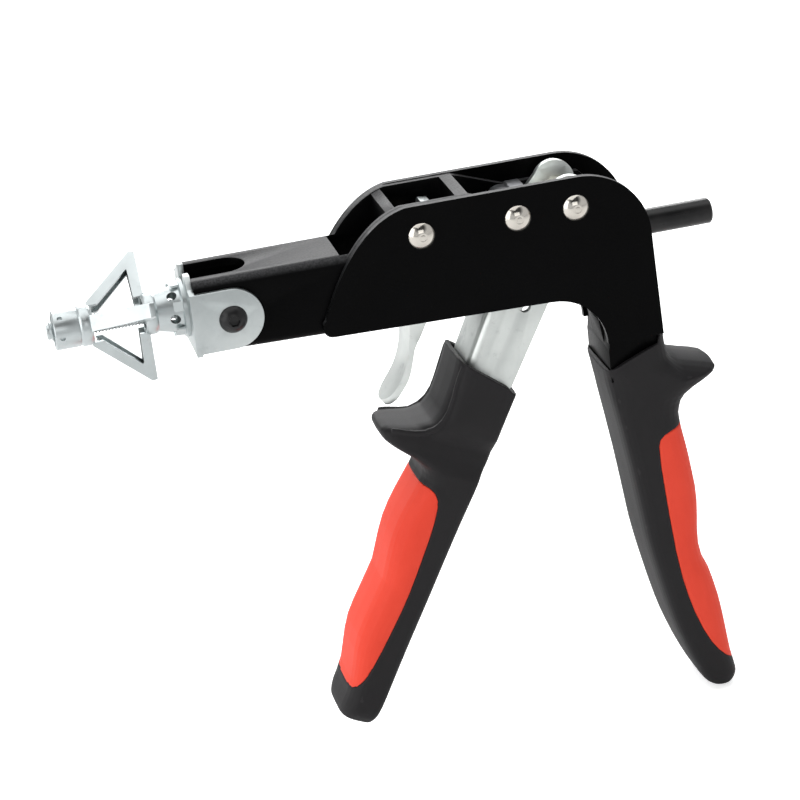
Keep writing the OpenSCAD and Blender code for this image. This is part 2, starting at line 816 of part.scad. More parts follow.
// Coil of round wire about the pull axis.
module coil(x0, x1, coil_r, turns) {
    steps = 14;
    sides = 6;
    wire_r = spring_wire_d / 2;
    n = round(turns * steps);
    rings = [for (i = [0:n])
                let (a = 360 * i / steps, x = x0 + wire_r + (x1 - x0 - 2 * wire_r) * i / n)
                    [for (j = [0:sides - 1])
                        let (b = 360 * j / sides, r = coil_r + wire_r * cos(b))
                            [x + wire_r * sin(b), r * cos(a), r * sin(a)]]];
    loft(rings);
}

module return_spring() {
    color([0.75, 0.76, 0.78])
        coil(drive_rear_x + 0.05, guide_x - 0.05, rod_d / 2 + 1.5, 5);
}

module lock_spring() {
    color([0.75, 0.76, 0.78])
        coil(lock_face_x + lock_plate_t + 0.3, rib_rear_x - 0.05, rod_d / 2 + 1.5, 2.5);
}

// Lock plate, leaning on the trigger's rivet so that its hole bites on the rod.
module lock_plate() {
    color([0.72, 0.73, 0.75])
        translate([lock_face_x, 0, rivet_z])
            rotate([0, lock_lean, 0])
                difference() {
                    along_x(0, lock_plate_t)
                        rounded_box(lock_plate_w, -rivet_z - 13, 6, 1.5);
                    translate([0, 0, -rivet_z])
                        rod_x(-cut, lock_plate_t + cut, plate_hole_d / 2);
                }
}

// Front outline of the trigger, seen from the side: straight down, then a forward curve.
trigger_face = [[66, -16], [66, -27], [63.3, -35.5], [54.3, -41.8]];
trigger_tip = [54.9, -40];
trigger_tip_tilt = 56;
trigger_steps = 20;

function trigger_curve(t) =
    let (back = [[t, 0], [t, 0], [0.9 * t, -0.45 * t], [0.56 * t, -0.83 * t]])
        [for (i = [0:trigger_steps]) bezier(trigger_face + back, i / trigger_steps)];

// Side view of the whole trigger, with the ears round the rivet.
module trigger_side() {
    ear_x = trigger_rivet_x + trigger_ear_r;
    translate([trigger_rivet_x, rivet_z])
        circle(trigger_ear_r);
    polygon(concat([[trigger_face[0].x, rivet_z]], trigger_curve(0),
                   [[56.6, -43.4], [58, -42.1], [59.9, -40.2], [61.7, -37.9], [63.1, -36.1],
                    [64.3, -34.2], [65.1, -32.4], [65.7, -30.5], [66.2, -28.7],
                    [66.7, -26.8], [67.2, -25], [68.1, -23.2], [69.1, -21.5],
                    [69.9, -19.6], [71.2, -16.5], [73.8, -4], [ear_x - 0.1, rivet_z]]));
}

// Front view of the trigger, drawn in by a margin: wide ears, narrow finger face.
module trigger_front(inset) {
    half = trigger_w / 2 - inset;
    finger = finger_w / 2 - inset;
    along_x(40, 90)
        polygon([[-half, 40], [-half, -16.5], [-finger, -22.5], [-finger, -60],
                 [finger, -60], [finger, -22.5], [half, -16.5], [half, 40]]);
}

// Trims the lower end round, square to the finger face.
module trigger_end(inset) {
    centre = finger_w / 2;
    translate([trigger_tip.x, 0, trigger_tip.y])
        rotate([0, trigger_tip_tilt, 0])
            along_x(-25, 25) {
                translate([0, centre])
                    circle(centre - inset);
                translate([-15, centre])
                    square([30, 80]);
            }
}

// Pressed release trigger: a hollow finger face with a rounded end, two walls that flare
// out to the ears on the rivet, and a tongue that pushes the lock plate square.
module release_trigger() {
    face_x = trigger_face[0].x;
    face_top_z = -9.5;
    half = trigger_w / 2;
    inner = half - trigger_t;
    tongue_x = lock_face_x - 23.3 * tan(lock_lean) - 0.15;
    color([0.8, 0.82, 0.83])
        difference() {
            union() {
                difference() {
                    intersection() {
                        side(-half - cut, half + cut)
                            trigger_side();
                        trigger_front(0);
                        trigger_end(0);
                    }
                    // hollow between the walls, behind the finger face
                    intersection() {
                        side(-half, half)
                            polygon(concat([[50, 40], [50, face_top_z],
                                            [face_x + trigger_t, face_top_z]],
                                           trigger_curve(trigger_t),
                                           [[55, -60], [95, -60], [95, 40]]));
                        trigger_front(trigger_t);
                        trigger_end(trigger_t);
                    }
                }
                // tongue
                translate([face_x + 0.4, -inner - 0.5, -10.6])
                    cube([tongue_x - face_x - 0.4, 2 * inner + 1, trigger_t]);
            }
            rod_y(trigger_rivet_x, rivet_z, -half - cut, half + cut, rivet_d / 2 + run_gap);
        }
}

module pull_rod() {
    color([0.12, 0.12, 0.125])
        difference() {
            turned_x([[0, rod_front_x], [rod_d / 2, rod_front_x],
                      [rod_d / 2, rod_end_x - 0.6], [rod_d / 2 - 0.6, rod_end_x],
                      [0, rod_end_x]]);
            rod_y(claw_pin_x, 0, -claw_d, claw_d, claw_pin_d / 2 + seat_gap);
        }
}

// Claw with an open-topped pocket for the screw head and a slot for its shank.
module pull_claw() {
    head_r = screw_head_d / 2 + 0.3;
    shank_r = screw_d / 2 + 0.3;
    color([0.35, 0.35, 0.37])
        difference() {
            rod_x(claw_front_x, claw_rear_x, claw_d / 2);
            rod_x(head_x, head_x + claw_pocket_l, head_r);
            translate([head_x, -head_r, 0])
                cube([claw_pocket_l, 2 * head_r, claw_d]);
            rod_x(claw_front_x - cut, head_x + cut, shank_r);
            translate([claw_front_x - cut, -shank_r, 0])
                cube([claw_lip_t + 2 * cut, 2 * shank_r, claw_d]);
            rod_x(rod_front_x - seat_gap, claw_rear_x + cut, rod_d / 2 + seat_gap);
            rod_y(claw_pin_x, 0, -claw_d, claw_d, claw_pin_d / 2 + seat_gap);
        }
}

module claw_pin() {
    color([0.75, 0.75, 0.77])
        intersection() {
            rod_y(claw_pin_x, 0, -claw_d, claw_d, claw_pin_d / 2);
            rod_x(claw_front_x, claw_rear_x, claw_d / 2 - 0.1);
        }
}

// Turns the anchor so that one of its three legs faces the photograph's viewpoint.
anchor_turn = -22;

// One folded leg: a strip with its fold away from the axis and a flange along each edge.
module anchor_leg() {
    base = sleeve_d / 2 - 0.9;
    fold_x = -leg_rear + 1.6;
    fold_r = leg_peak_r;
    flange_sheet_t = 0.9;
    rise = (fold_r - base - leg_t) / (fold_x - 1.5 + leg_front + 0.6);
    window_rear = fold_x - 0.4 - leg_flange;
    window_front = -leg_front - 0.6 + (leg_flange * sqrt(1 + rise * rise) - leg_t) / rise;
    difference() {
        side(-leg_w / 2, leg_w / 2)
            polygon([[-leg_front - 0.6, base], [-leg_front - 0.6, base + leg_t],
                     [fold_x - 1.5, fold_r], [fold_x, fold_r - 0.3], [-leg_rear + leg_t, base]]);
        // hollow between the two flanges
        side(-leg_w / 2 + flange_sheet_t, leg_w / 2 - flange_sheet_t)
            polygon([[-leg_front + 0.9, base - cut], [-leg_front + 0.9, base],
                     [fold_x - 1.2, fold_r - 2.1], [-leg_rear - 0.2, base],
                     [-leg_rear - 0.2, base - cut]]);
        // window between the front and the rear half
        side(-leg_w, leg_w)
            polygon([[window_front, base - cut], [window_front, base],
                     [window_rear, base + (window_rear - window_front) * rise],
                     [window_rear, base - cut]]);
    }
}

// Sleeve of the set anchor: nut collar, three folded legs, neck and spiked flange.
module anchor_sleeve() {
    outer = sleeve_d / 2;
    bore = outer - leg_t;
    collar_x = -leg_front - collar_l;
    flange_x = -seat_gap;
    spikes = 6;
    color([0.8, 0.83, 0.84])
        rotate([anchor_turn, 0, 0])
            difference() {
                union() {
                    // nut collar with a shallow groove and a bulged rear part
                    turned_x([[bore, collar_x], [outer - 0.3, collar_x],
                              [outer, collar_x + 0.3], [outer, collar_x + 7.4],
                              [outer - 0.25, collar_x + 7.7], [outer + 0.25, collar_x + 8.4],
                              [outer + 0.25, -leg_front - 1], [outer - 0.3, -leg_front],
                              [bore, -leg_front]]);
                    // neck with its rolled bead, flared to the flange
                    turned_x([[bore, -leg_rear], [outer - 0.2, -leg_rear],
                              [outer + 0.4, -leg_rear + 0.8], [outer + 0.4, -leg_rear + 3],
                              [outer - 0.1, -leg_rear + 3.8], [outer + 0.2, -leg_rear + 5],
                              [outer + 1.6, flange_x - flange_t - 0.4],
                              [flange_d / 2, flange_x - flange_t], [flange_d / 2, flange_x],
                              [bore - 0.6, flange_x], [bore - 0.6, flange_x - flange_t]]);
                    for (i = [0:2])
                        rotate([90 + 120 * i, 0, 0])
                            anchor_leg();
                    // spikes that bite into the wallboard
                    for (i = [0:spikes - 1])
                        rotate([30 + 60 * i, 0, 0])
                            side(-1.5, 1.5)
                                polygon([[flange_x - flange_t / 2, flange_d / 2 - 1.5],
                                         [flange_x - flange_t - 3, flange_d / 2 - 0.9],
                                         [flange_x - flange_t - 3, flange_d / 2 - 0.6],
                                         [flange_x - flange_t / 2, flange_d / 2 - 0.4]]);
                }
                // openings in the flare that the spikes were pressed out of
                for (i = [0:spikes - 1])
                    rotate([90 + 30 + 60 * i, 0, 0])
                        translate([-4, 0, bore - cut])
                            cylinder(r = 1.5, h = 6, $fn = 24);
                // crimp marks that hold the nut
                for (i = [0:spikes - 1])
                    rotate([90 + 30 + 60 * i, 0, 0])
                        translate([collar_x + 2.2, 0, outer - 0.8])
                            cylinder(r = 0.8, h = 4, $fn = 24);
            }
}

module anchor_nut() {
    collar_x = -leg_front - collar_l;
    color([0.72, 0.74, 0.76])
        turned_x([[screw_d / 2 + seat_gap, collar_x + 0.4], [sleeve_d / 2 - leg_t - seat_gap, collar_x + 0.4],
                  [sleeve_d / 2 - leg_t - seat_gap, -leg_front - 0.4], [screw_d / 2 + seat_gap, -leg_front - 0.4]]);
}

module anchor_screw() {
    tip_x = -leg_front - collar_l - screw_tip;
    head_r = screw_head_d / 2;
    color([0.78, 0.8, 0.82])
        difference() {
            turned_x([[0, tip_x], [screw_d / 2 - 0.7, tip_x], [screw_d / 2, tip_x + 0.7],
                      [screw_d / 2, head_x + 0.1], [head_r, head_x + 0.1],
                      [head_r, head_x + 1.4], [head_r - 1.2, head_x + screw_head_h - 0.3],
                      [head_r - 2.6, head_x + screw_head_h], [0, head_x + screw_head_h]]);
            // cross recess
            for (a = [0, 90])
                rotate([a, 0, 0])
                    translate([head_x + screw_head_h - 1.8, -0.55, -2.6])
                        cube([4, 1.1, 5.2]);
        }
}

frame_casting();
side_plate_near();
side_plate_far();
nose_bracket();
bracket_screws();
trigger_rivet();
middle_rivet();
lever_rivet();
middle_spacer();
rear_grip();
rear_grip_insert();
front_lever();
lever_bush();
drive_pin();
front_grip();
front_grip_insert();
drive_plate_front();
drive_plate_rear();
return_spring();
lock_plate();
lock_spring();
release_trigger();
pull_rod();
pull_claw();
claw_pin();
anchor_sleeve();
anchor_nut();
anchor_screw();
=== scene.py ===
"""Dresses a hollow wall anchor setting tool, with a set anchor in its jaw, for its picture.

Lengths are in metres, in the frame of the CAD model: X runs from the nose to the rod's
tail, Z is up and the origin is where the anchor's flange seats on the nose.
"""

import json
import logging
import math
from dataclasses import dataclass
from enum import Enum
from typing import Callable, ClassVar, Iterable, Optional, Sequence, Union

import bmesh
import bpy
from mathutils import Matrix, Vector

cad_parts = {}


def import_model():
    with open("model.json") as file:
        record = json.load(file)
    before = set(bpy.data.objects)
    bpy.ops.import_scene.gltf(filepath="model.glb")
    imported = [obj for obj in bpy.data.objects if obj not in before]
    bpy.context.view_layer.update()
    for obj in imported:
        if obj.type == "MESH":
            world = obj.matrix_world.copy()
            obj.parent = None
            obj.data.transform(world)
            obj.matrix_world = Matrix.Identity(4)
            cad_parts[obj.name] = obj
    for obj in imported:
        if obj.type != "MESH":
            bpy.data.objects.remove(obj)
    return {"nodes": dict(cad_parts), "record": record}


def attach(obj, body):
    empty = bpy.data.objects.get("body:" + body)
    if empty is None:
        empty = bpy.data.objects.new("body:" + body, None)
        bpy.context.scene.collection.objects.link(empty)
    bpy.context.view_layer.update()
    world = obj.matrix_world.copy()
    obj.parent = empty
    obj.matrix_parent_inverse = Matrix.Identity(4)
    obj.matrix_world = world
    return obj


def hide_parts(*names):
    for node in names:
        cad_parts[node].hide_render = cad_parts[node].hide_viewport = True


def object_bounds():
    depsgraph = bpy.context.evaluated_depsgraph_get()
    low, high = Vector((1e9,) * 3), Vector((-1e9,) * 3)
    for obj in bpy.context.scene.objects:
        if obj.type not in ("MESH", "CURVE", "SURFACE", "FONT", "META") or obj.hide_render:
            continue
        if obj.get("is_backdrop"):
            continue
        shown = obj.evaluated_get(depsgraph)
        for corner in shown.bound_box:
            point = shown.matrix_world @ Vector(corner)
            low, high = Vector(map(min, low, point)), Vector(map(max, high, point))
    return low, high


LOG = logging.getLogger("setting_tool")
MM = 0.001
LEVER_LEAN = math.radians(26.1)
Number = Union[int, float]
Point = tuple[float, float, float]


class Body(str, Enum):
    """The bodies of the CAD model that pieces ride on."""

    HOUSING = "housing"
    LEVER = "lever"
    DRIVE = "drive_plates"
    LOCK = "lock"
    TRIGGER = "trigger"
    ROD = "rod"


# shader writing


class Value:
    """A socket of a shader graph, with arithmetic on it."""

    def __init__(self, graph: "Graph", socket: bpy.types.NodeSocket) -> None:
        """Wraps a socket.

        Args:
            graph: The graph that the socket's node belongs to.
            socket: An output socket.
        """
        self.graph = graph
        self.socket = socket

    def _math(self, operation: str, *others: "Value | Number") -> "Value":
        """Adds one Math node.

        Args:
            operation: The Math node's operation.
            others: What goes into its further sockets.

        Returns:
            The node's value.
        """
        return self.graph.math(operation, self, *others)

    def __add__(self, other: "Value | Number") -> "Value":
        """Sum of two values."""
        return self._math("ADD", other)

    def __radd__(self, other: Number) -> "Value":
        """Sum with a number on the left."""
        return self.graph.math("ADD", other, self)

    def __sub__(self, other: "Value | Number") -> "Value":
        """Difference of two values."""
        return self._math("SUBTRACT", other)

    def __mul__(self, other: "Value | Number") -> "Value":
        """Product of two values."""
        return self._math("MULTIPLY", other)


class Graph:
    """A material's node graph, written as Python expressions."""

    def __init__(self, name: str) -> None:
        """Starts an empty material.

        Args:
            name: The material's name.
        """
        self.material = bpy.data.materials.new(name)
        self.material.use_nodes = True
        self.tree = self.material.node_tree
        self.tree.nodes.clear()
        self.output = self.tree.nodes.new("ShaderNodeOutputMaterial")

    def close(self, shader: Value) -> None:
        """Joins the last shader to the output.

        Args:
            shader: The shader.
        """
        self.tree.links.new(shader.socket, self.output.inputs["Surface"])

    def node(
        self,
        kind: str,
        settings: Optional[dict] = None,
        inputs: Optional[dict] = None,
        output: Union[int, str] = 0,
    ) -> Value:
        """Adds any node.

        Args:
            kind: The node's type, such as ShaderNodeTexNoise.
            settings: Its attributes, set before its sockets; "ramp" takes a list of
                (place, colour) stops.
            inputs: Values or links of its sockets, by name or index.
            output: The output socket to hand back.

        Returns:
            The chosen output.
        """
        made = self.tree.nodes.new(kind)
        for key, value in (settings or {}).items():
            if key == "ramp":
                stops = made.color_ramp.elements
                while len(stops) < len(value):
                    stops.new(0.5)
                for stop, (place, colour) in zip(stops, value):
                    stop.position = place
                    stop.color = (*colour[:3], 1.0)
            else:
                setattr(made, key, value)
        for key, value in (inputs or {}).items():
            socket = made.inputs[key]
            if isinstance(value, Value):
                self.tree.links.new(value.socket, socket)
            elif isinstance(value, (tuple, list)) and len(value) == 3 and socket.type == "RGBA":
                socket.default_value = (*value, 1.0)
            else:
                socket.default_value = value
        return Value(self, made.outputs[output])

    def math(self, operation: str, *values: "Value | Number") -> Value:
        """Adds a Math node.

        Args:
            operation: Its operation.
            values: What goes into its sockets.

        Returns:
            The result.
        """
        return self.node("ShaderNodeMath", {"operation": operation}, dict(enumerate(values)))

    def place(self, stretch: Point = (1.0, 1.0, 1.0), turn: Point = (0.0, 0.0, 0.0)) -> Value:
        """Object coordinates, scaled and turned.

        Args:
            stretch: How many times finer the pattern is along each axis.
            turn: Turning angles in radians.

        Returns:
            The mapped coordinates.
        """
        coordinates = self.node("ShaderNodeTexCoord", output="Object")
        return self.node(
            "ShaderNodeMapping",
            {},
            {"Vector": coordinates, "Scale": stretch, "Rotation": turn},
        )

    def noise(
        self,
        scale: Number,
        detail: Number = 4.0,
        roughness: Number = 0.5,
        stretch: Point = (1.0, 1.0, 1.0),
        turn: Point = (0.0, 0.0, 0.0),
    ) -> Value:
        """Cloudy noise from 0 to 1 on object coordinates.

        Args:
            scale: Patches per metre.
            detail: Octaves.
            roughness: Weight of the finer octaves.
            stretch: Stretching of the pattern.
            turn: Turning of the pattern.

        Returns:
            The noise.
        """
        return self.node(
            "ShaderNodeTexNoise",
            {},
            {
                "Vector": self.place(stretch, turn),
                "Scale": scale,
                "Detail": detail,
                "Roughness": roughness,
            },
            "Fac",
        )

    def cells(self, scale: Number) -> Value:
        """Distance to the nearest point of a scattered set.

        Args:
            scale: Cells per metre.

        Returns:
            The distance, about 0 to 1.
        """
        return self.node(
            "ShaderNodeTexVoronoi",
            {"feature": "F1"},
            {"Vector": self.place(), "Scale": scale},
            "Distance",
        )

    def span(
        self,
        value: Value,
        low: Number,
        high: Number,
        to_low: Number = 0.0,
        to_high: Number = 1.0,
    ) -> Value:
        """Maps a range of a value to another range, clamped.

        Args:
            value: The value.
            low: Start of its range.
            high: End of its range.
            to_low: Result at the start.
            to_high: Result at the end.

        Returns:
            The mapped value.
        """
        return self.node(
            "ShaderNodeMapRange",
            {"clamp": True},
            {"Value": value, "From Min": low, "From Max": high, "To Min": to_low, "To Max": to_high},
        )

    def mix(self, factor: "Value | Number", first: "Value | Point", second: "Value | Point") -> Value:
        """Blends two colours.

        Args:
            factor: Share of the second colour.
            first: The first colour.
            second: The second colour.

        Returns:
            The blended colour.
        """
        return self.node(
            "ShaderNodeMix",
            {"data_type": "RGBA"},
            {0: factor, 6: first, 7: second},
            2,
        )

    def bump(
        self, height: Value, depth: Number, strength: Number, under: Optional[Value] = None
    ) -> Value:
        """A bumped normal.

        Args:
            height: The height pattern.
            depth: The height of a full step in metres.
            strength: Share of the bump that shows.
            under: A bump that this one lies on.

        Returns:
            The normal.
        """
        inputs: dict = {"Height": height, "Distance": depth, "Strength": strength}
        if under is not None:
            inputs["Normal"] = under
        return self.node("ShaderNodeBump", {}, inputs)

    def edge_wear_and_highlight(self, low: Number, high: Number) -> Value:
        """Share of a surface that lies on an outward edge, from the mesh's own curvature, for edges
        lightened by wear and a painted highlight.

        Args:
            low: Pointiness where the edge starts.
            high: Pointiness where it is full.

        Returns:
            The mask, 0 to 1.
        """
        point = self.node("ShaderNodeNewGeometry", output="Pointiness")
        return self.span(point, low, high)

    def facing_up(self) -> Value:
        """How far the surface faces upwards.

        Returns:
            The Z part of its normal.
        """
        normal = self.node("ShaderNodeNewGeometry", output="Normal")
        return self.node("ShaderNodeSeparateXYZ", {}, {"Vector": normal}, "Z")

    def surface(self, **inputs: "Value | Number | Point") -> bpy.types.Material:
        """Ends the graph with a Principled surface.

        Args:
            inputs: Its sockets, with underscores for spaces.

        Returns:
            The finished material.
        """
        named = {key.replace("_", " "): value for key, value in inputs.items()}
        self.close(self.node("ShaderNodeBsdfPrincipled", {}, named))
        return self.material


class Sky(Graph):
    """The world's node graph."""

    def __init__(self, name: str) -> None:
        """Starts an empty world.

        Args:
            name: The world's name.
        """
        self.world = bpy.data.worlds.new(name)
        self.world.use_nodes = True
        self.tree = self.world.node_tree
        self.tree.nodes.clear()
        self.output = self.tree.nodes.new("ShaderNodeOutputWorld")


# finishes


@dataclass(frozen=True)
class BlackPaint:
    """Stoved black paint with a fine orange-peel skin, with a painted sheen that greys it where it
    faces up.
    """

    colour: Point = (0.0009, 0.0009, 0.001)
    cloudy: Point = (0.002, 0.002, 0.0022)
    # grey of the painted sheen on faces that look up
    dust_and_sheen: Point = (0.055, 0.055, 0.057)
    roughness: float = 0.28

    def make(self) -> bpy.types.Material:
        """Builds the paint's material."""
        graph = Graph("black_paint")
        peel = graph.noise(1500.0, 3.0, 0.55)
        grains = graph.span(graph.cells(2600.0), 0.0, 0.22, 1.0, 0.0)
        cloud = graph.noise(60.0, 5.0, 0.6)
        scuffs = graph.span(graph.noise(900.0, 6.0, 0.7, (0.12, 1.0, 1.0)), 0.66, 0.74)
        shade = graph.mix(graph.span(cloud, 0.35, 0.75, 0.0, 0.6), self.colour, self.cloudy)
        shade = graph.mix(grains * 0.2, shade, (0.02, 0.02, 0.021))
        rough = self.roughness + cloud * 0.12 + scuffs * 0.1 - grains * 0.05
        # faces that look up are painted grey, broken up by the peel: a painted sheen of the light
        # from above
        painted_top_sheen = graph.span(graph.facing_up(), 0.35, 0.85) * graph.span(peel, 0.35, 0.65, 0.5, 1.0)
        shade = graph.mix(painted_top_sheen, shade, self.dust_and_sheen)
        skin = graph.bump(peel + grains * 0.35, 0.00005, 0.7)
        return graph.surface(
            Base_Color=shade,
            Roughness=rough,
            Normal=skin,
            Specular_IOR_Level=0.05,
        )


@dataclass(frozen=True)
class ZincPlate:
    """Bright zinc on pressed steel: pale blue-grey, cloudy, with fine drawing marks."""

    name: str = "zinc_plate"
    colour: Point = (0.62, 0.655, 0.65)
    tint: Point = (0.47, 0.51, 0.51)
    roughness: float = 0.22
    grain: Point = (0.06, 1.0, 1.0)
    turn: Point = (0.0, 0.0, 0.0)

    def make(self) -> bpy.types.Material:
        """Builds the plating's material."""
        graph = Graph(self.name)
        cloud = graph.noise(45.0, 6.0, 0.62)
        marks = graph.noise(2200.0, 4.0, 0.6, self.grain, self.turn)
        pits = graph.span(graph.cells(900.0), 0.0, 0.1, 1.0, 0.0)
        tarnish = graph.span(graph.noise(160.0, 6.0, 0.7), 0.58, 0.72)
        shade = graph.mix(graph.span(cloud, 0.35, 0.7), self.colour, self.tint)
        shade = graph.mix(tarnish * 0.35, shade, (0.34, 0.36, 0.365))
        shade = graph.mix(pits * 0.3, shade, (0.3, 0.31, 0.32))
        rough = self.roughness + cloud * 0.14 + marks * 0.1 + tarnish * 0.08
        skin = graph.bump(marks, 0.000012, 0.7)
        skin = graph.bump(graph.noise(260.0, 3.0, 0.5), 0.00005, 0.35, skin)
        return graph.surface(Base_Color=shade, Metallic=1.0, Roughness=rough, Normal=skin)


@dataclass(frozen=True)
class PolishedNickel:
    """Warm polished nickel, with fine turned marks on the rivet domes."""

    colour: Point = (0.70, 0.665, 0.605)

    def make(self) -> bpy.types.Material:
        """Builds the nickel's material."""
        graph = Graph("nickel")
        cloud = graph.noise(220.0, 4.0, 0.6)
        nicks = graph.span(graph.noise(1300.0, 5.0, 0.75), 0.66, 0.76)
        shade = graph.mix(graph.span(cloud, 0.4, 0.7, 0.0, 0.5), self.colour, (0.56, 0.52, 0.46))
        shade = graph.mix(nicks * 0.5, shade, (0.35, 0.33, 0.3))
        rough = 0.09 + cloud * 0.08 + nicks * 0.15
        skin = graph.bump(graph.noise(700.0, 4.0, 0.6), 0.00002, 0.4)
        return graph.surface(Base_Color=shade, Metallic=1.0, Roughness=rough, Normal=skin)


@dataclass(frozen=True)
class BlackOxide:
    """Blackened steel, satin, with fine marks along the rod."""

    colour: Point = (0.0045, 0.0045, 0.005)
    roughness: float = 0.2

    def make(self) -> bpy.types.Material:
        """Builds the blackened steel's material."""
        graph = Graph("black_oxide")
        marks = graph.noise(2600.0, 4.0, 0.6, (0.05, 1.0, 1.0))
        cloud = graph.noise(110.0, 5.0, 0.65)
        rubbed = graph.span(graph.noise(420.0, 6.0, 0.72, (0.2, 1.0, 1.0)), 0.6, 0.75)
        shade = graph.mix(graph.span(cloud, 0.35, 0.7, 0.0, 0.7), self.colour, (0.022, 0.021, 0.021))
        shade = graph.mix(rubbed * 0.4, shade, (0.07, 0.068, 0.065))
        rough = self.roughness + marks * 0.12 + cloud * 0.08 - rubbed * 0.08
        skin = graph.bump(marks, 0.000015, 0.6)
        return graph.surface(Base_Color=shade, Roughness=rough, Normal=skin, Specular_IOR_Level=0.35)


@dataclass(frozen=True)
class HardSteel:
    """Oiled hardened steel of the parts inside the body."""

    name: str = "grey_steel"
    colour: Point = (0.20, 0.205, 0.215)
    roughness: float = 0.36

    def make(self) -> bpy.types.Material:
        """Builds the hard steel's material."""
        graph = Graph(self.name)
        cloud = graph.noise(140.0, 5.0, 0.65)
        marks = graph.noise(2400.0, 3.0, 0.6, (1.0, 0.08, 1.0))
        shade = graph.mix(graph.span(cloud, 0.35, 0.7), self.colour, (0.11, 0.11, 0.115))
        rough = self.roughness + marks * 0.14 + cloud * 0.08
        return graph.surface(
            Base_Color=shade,
            Metallic=1.0,
            Roughness=rough,
            Normal=graph.bump(marks, 0.000015, 0.6),
        )


@dataclass(frozen=True)
class GripPlastic:
    """Charcoal moulded plastic with a fine spark-eroded skin."""

    colour: Point = (0.0110, 0.0100, 0.0110)
    pale: Point = (0.0140, 0.0130, 0.0140)

    def make(self) -> bpy.types.Material:
        """Builds the moulded plastic's material."""
        graph = Graph("grip_black")
        skin = graph.noise(3600.0, 3.0, 0.6)
        flow = graph.noise(38.0, 5.0, 0.6)
        # scattered specks of dust on the plastic
        dust_and_sheen = graph.span(graph.cells(1700.0), 0.0, 0.07, 1.0, 0.0)
        shade = graph.mix(graph.span(flow, 0.35, 0.7), self.colour, self.pale)
        # outward edges painted lighter: part edge wear, part painted highlight
        shade = graph.mix(graph.edge_wear_and_highlight(0.505, 0.56) * 0.3, shade, (0.04, 0.038, 0.04))
        shade = graph.mix(dust_and_sheen * 0.2, shade, (0.06, 0.058, 0.058))
        rough = 0.47 + flow * 0.1 + skin * 0.08
        return graph.surface(
            Base_Color=shade,
            Roughness=rough,
            Normal=graph.bump(skin, 0.00003, 0.8),
            Specular_IOR_Level=0.25,
        )


@dataclass(frozen=True)
class GripRubber:
    """Soft red over-moulding, matt, a little cloudy, with a few specks of lint."""

    colour: Point = (0.88, 0.069, 0.035)
    deep: Point = (0.83, 0.060, 0.030)

    def make(self) -> bpy.types.Material:
        """Builds the over-moulding's material."""
        graph = Graph("grip_red")
        skin = graph.noise(3000.0, 3.0, 0.6)
        flow = graph.noise(42.0, 5.0, 0.6)
        lint = graph.span(graph.cells(1300.0), 0.0, 0.05, 1.0, 0.0)
        shade = graph.mix(graph.span(flow, 0.35, 0.72), self.colour, self.deep)
        shade = graph.mix(lint * 0.2, shade, (0.9, 0.35, 0.25))
        rough = 0.5 + flow * 0.1 + skin * 0.06
        return graph.surface(
            Base_Color=shade,
            Roughness=rough,
            Normal=graph.bump(skin, 0.000025, 0.7),
            Specular_IOR_Level=0.25,
        )


@dataclass(frozen=True)
class PaleFloor:
    """White floor that keeps the object's soft shadow and looks pure white elsewhere."""

    def make(self) -> bpy.types.Material:
        """Builds the floor's material."""
        graph = Graph("pale_floor")
        cloud = graph.noise(3.0, 3.0, 0.5)
        shade = graph.mix(cloud * 0.05, (0.93, 0.93, 0.93), (0.88, 0.88, 0.88))
        matt = graph.node("ShaderNodeBsdfDiffuse", {}, {"Color": shade})
        glow = graph.node("ShaderNodeEmission", {}, {"Color": (1.0, 1.0, 1.0), "Strength": 0.62})
        seen = graph.node("ShaderNodeLightPath", output="Is Camera Ray")
        lit = graph.node("ShaderNodeAddShader", {}, {0: matt, 1: glow})
        shader = graph.node("ShaderNodeMixShader", {}, {0: seen, 1: matt, 2: lit})
        graph.close(shader)
        return graph.material


class Finishes:
    """All finishes, made once and handed out by the record's slot names."""

    def __init__(self) -> None:
        """Builds every finish."""
        self.by_slot: dict[str, bpy.types.Material] = {
            "black_paint": BlackPaint().make(),
            "zinc_plate": ZincPlate().make(),
            "nickel": PolishedNickel().make(),
            "black_oxide": BlackOxide().make(),
            "grey_steel": HardSteel().make(),
            "spring_steel": HardSteel("spring_steel", (0.5, 0.51, 0.53), 0.25).make(),
            "grip_black": GripPlastic().make(),
            "grip_red": GripRubber().make(),
        }
        self.lever = ZincPlate(
            "zinc_lever",
            colour=(0.76, 0.79, 0.765),
            tint=(0.63, 0.66, 0.64),
            grain=(1.0, 1.0, 0.06),
            turn=(0.0, LEVER_LEAN, 0.0),
            roughness=0.3,
        ).make()
        self.anchor = ZincPlate(
            "zinc_anchor", colour=(0.60, 0.645, 0.65), roughness=0.2, grain=(0.1, 1.0, 1.0)
        ).make()


def paint(piece: bpy.types.Object, finish: bpy.types.Material) -> None:
    """Gives a piece one finish all over.

    Args:
        piece: The piece.
        finish: Its material.
    """
    piece.data.materials.clear()
    piece.data.materials.append(finish)


# modelling


def ramp(value: float, low: float, high: float) -> float:
    """A smooth step from 0 to 1.

    Args:
        value: The value.
        low: Where the step starts.
        high: Where it ends.

    Returns:
        The step's height at the value.
    """
    share = min(max((value - low) / (high - low), 0.0), 1.0)
    return share * share * (3.0 - 2.0 * share)


@dataclass(frozen=True)
class Rounding:
    """A part of a piece whose sharp edges are rounded more than the rest."""

    test: Callable[[Vector], bool]
    width: float
    segments: int = 3


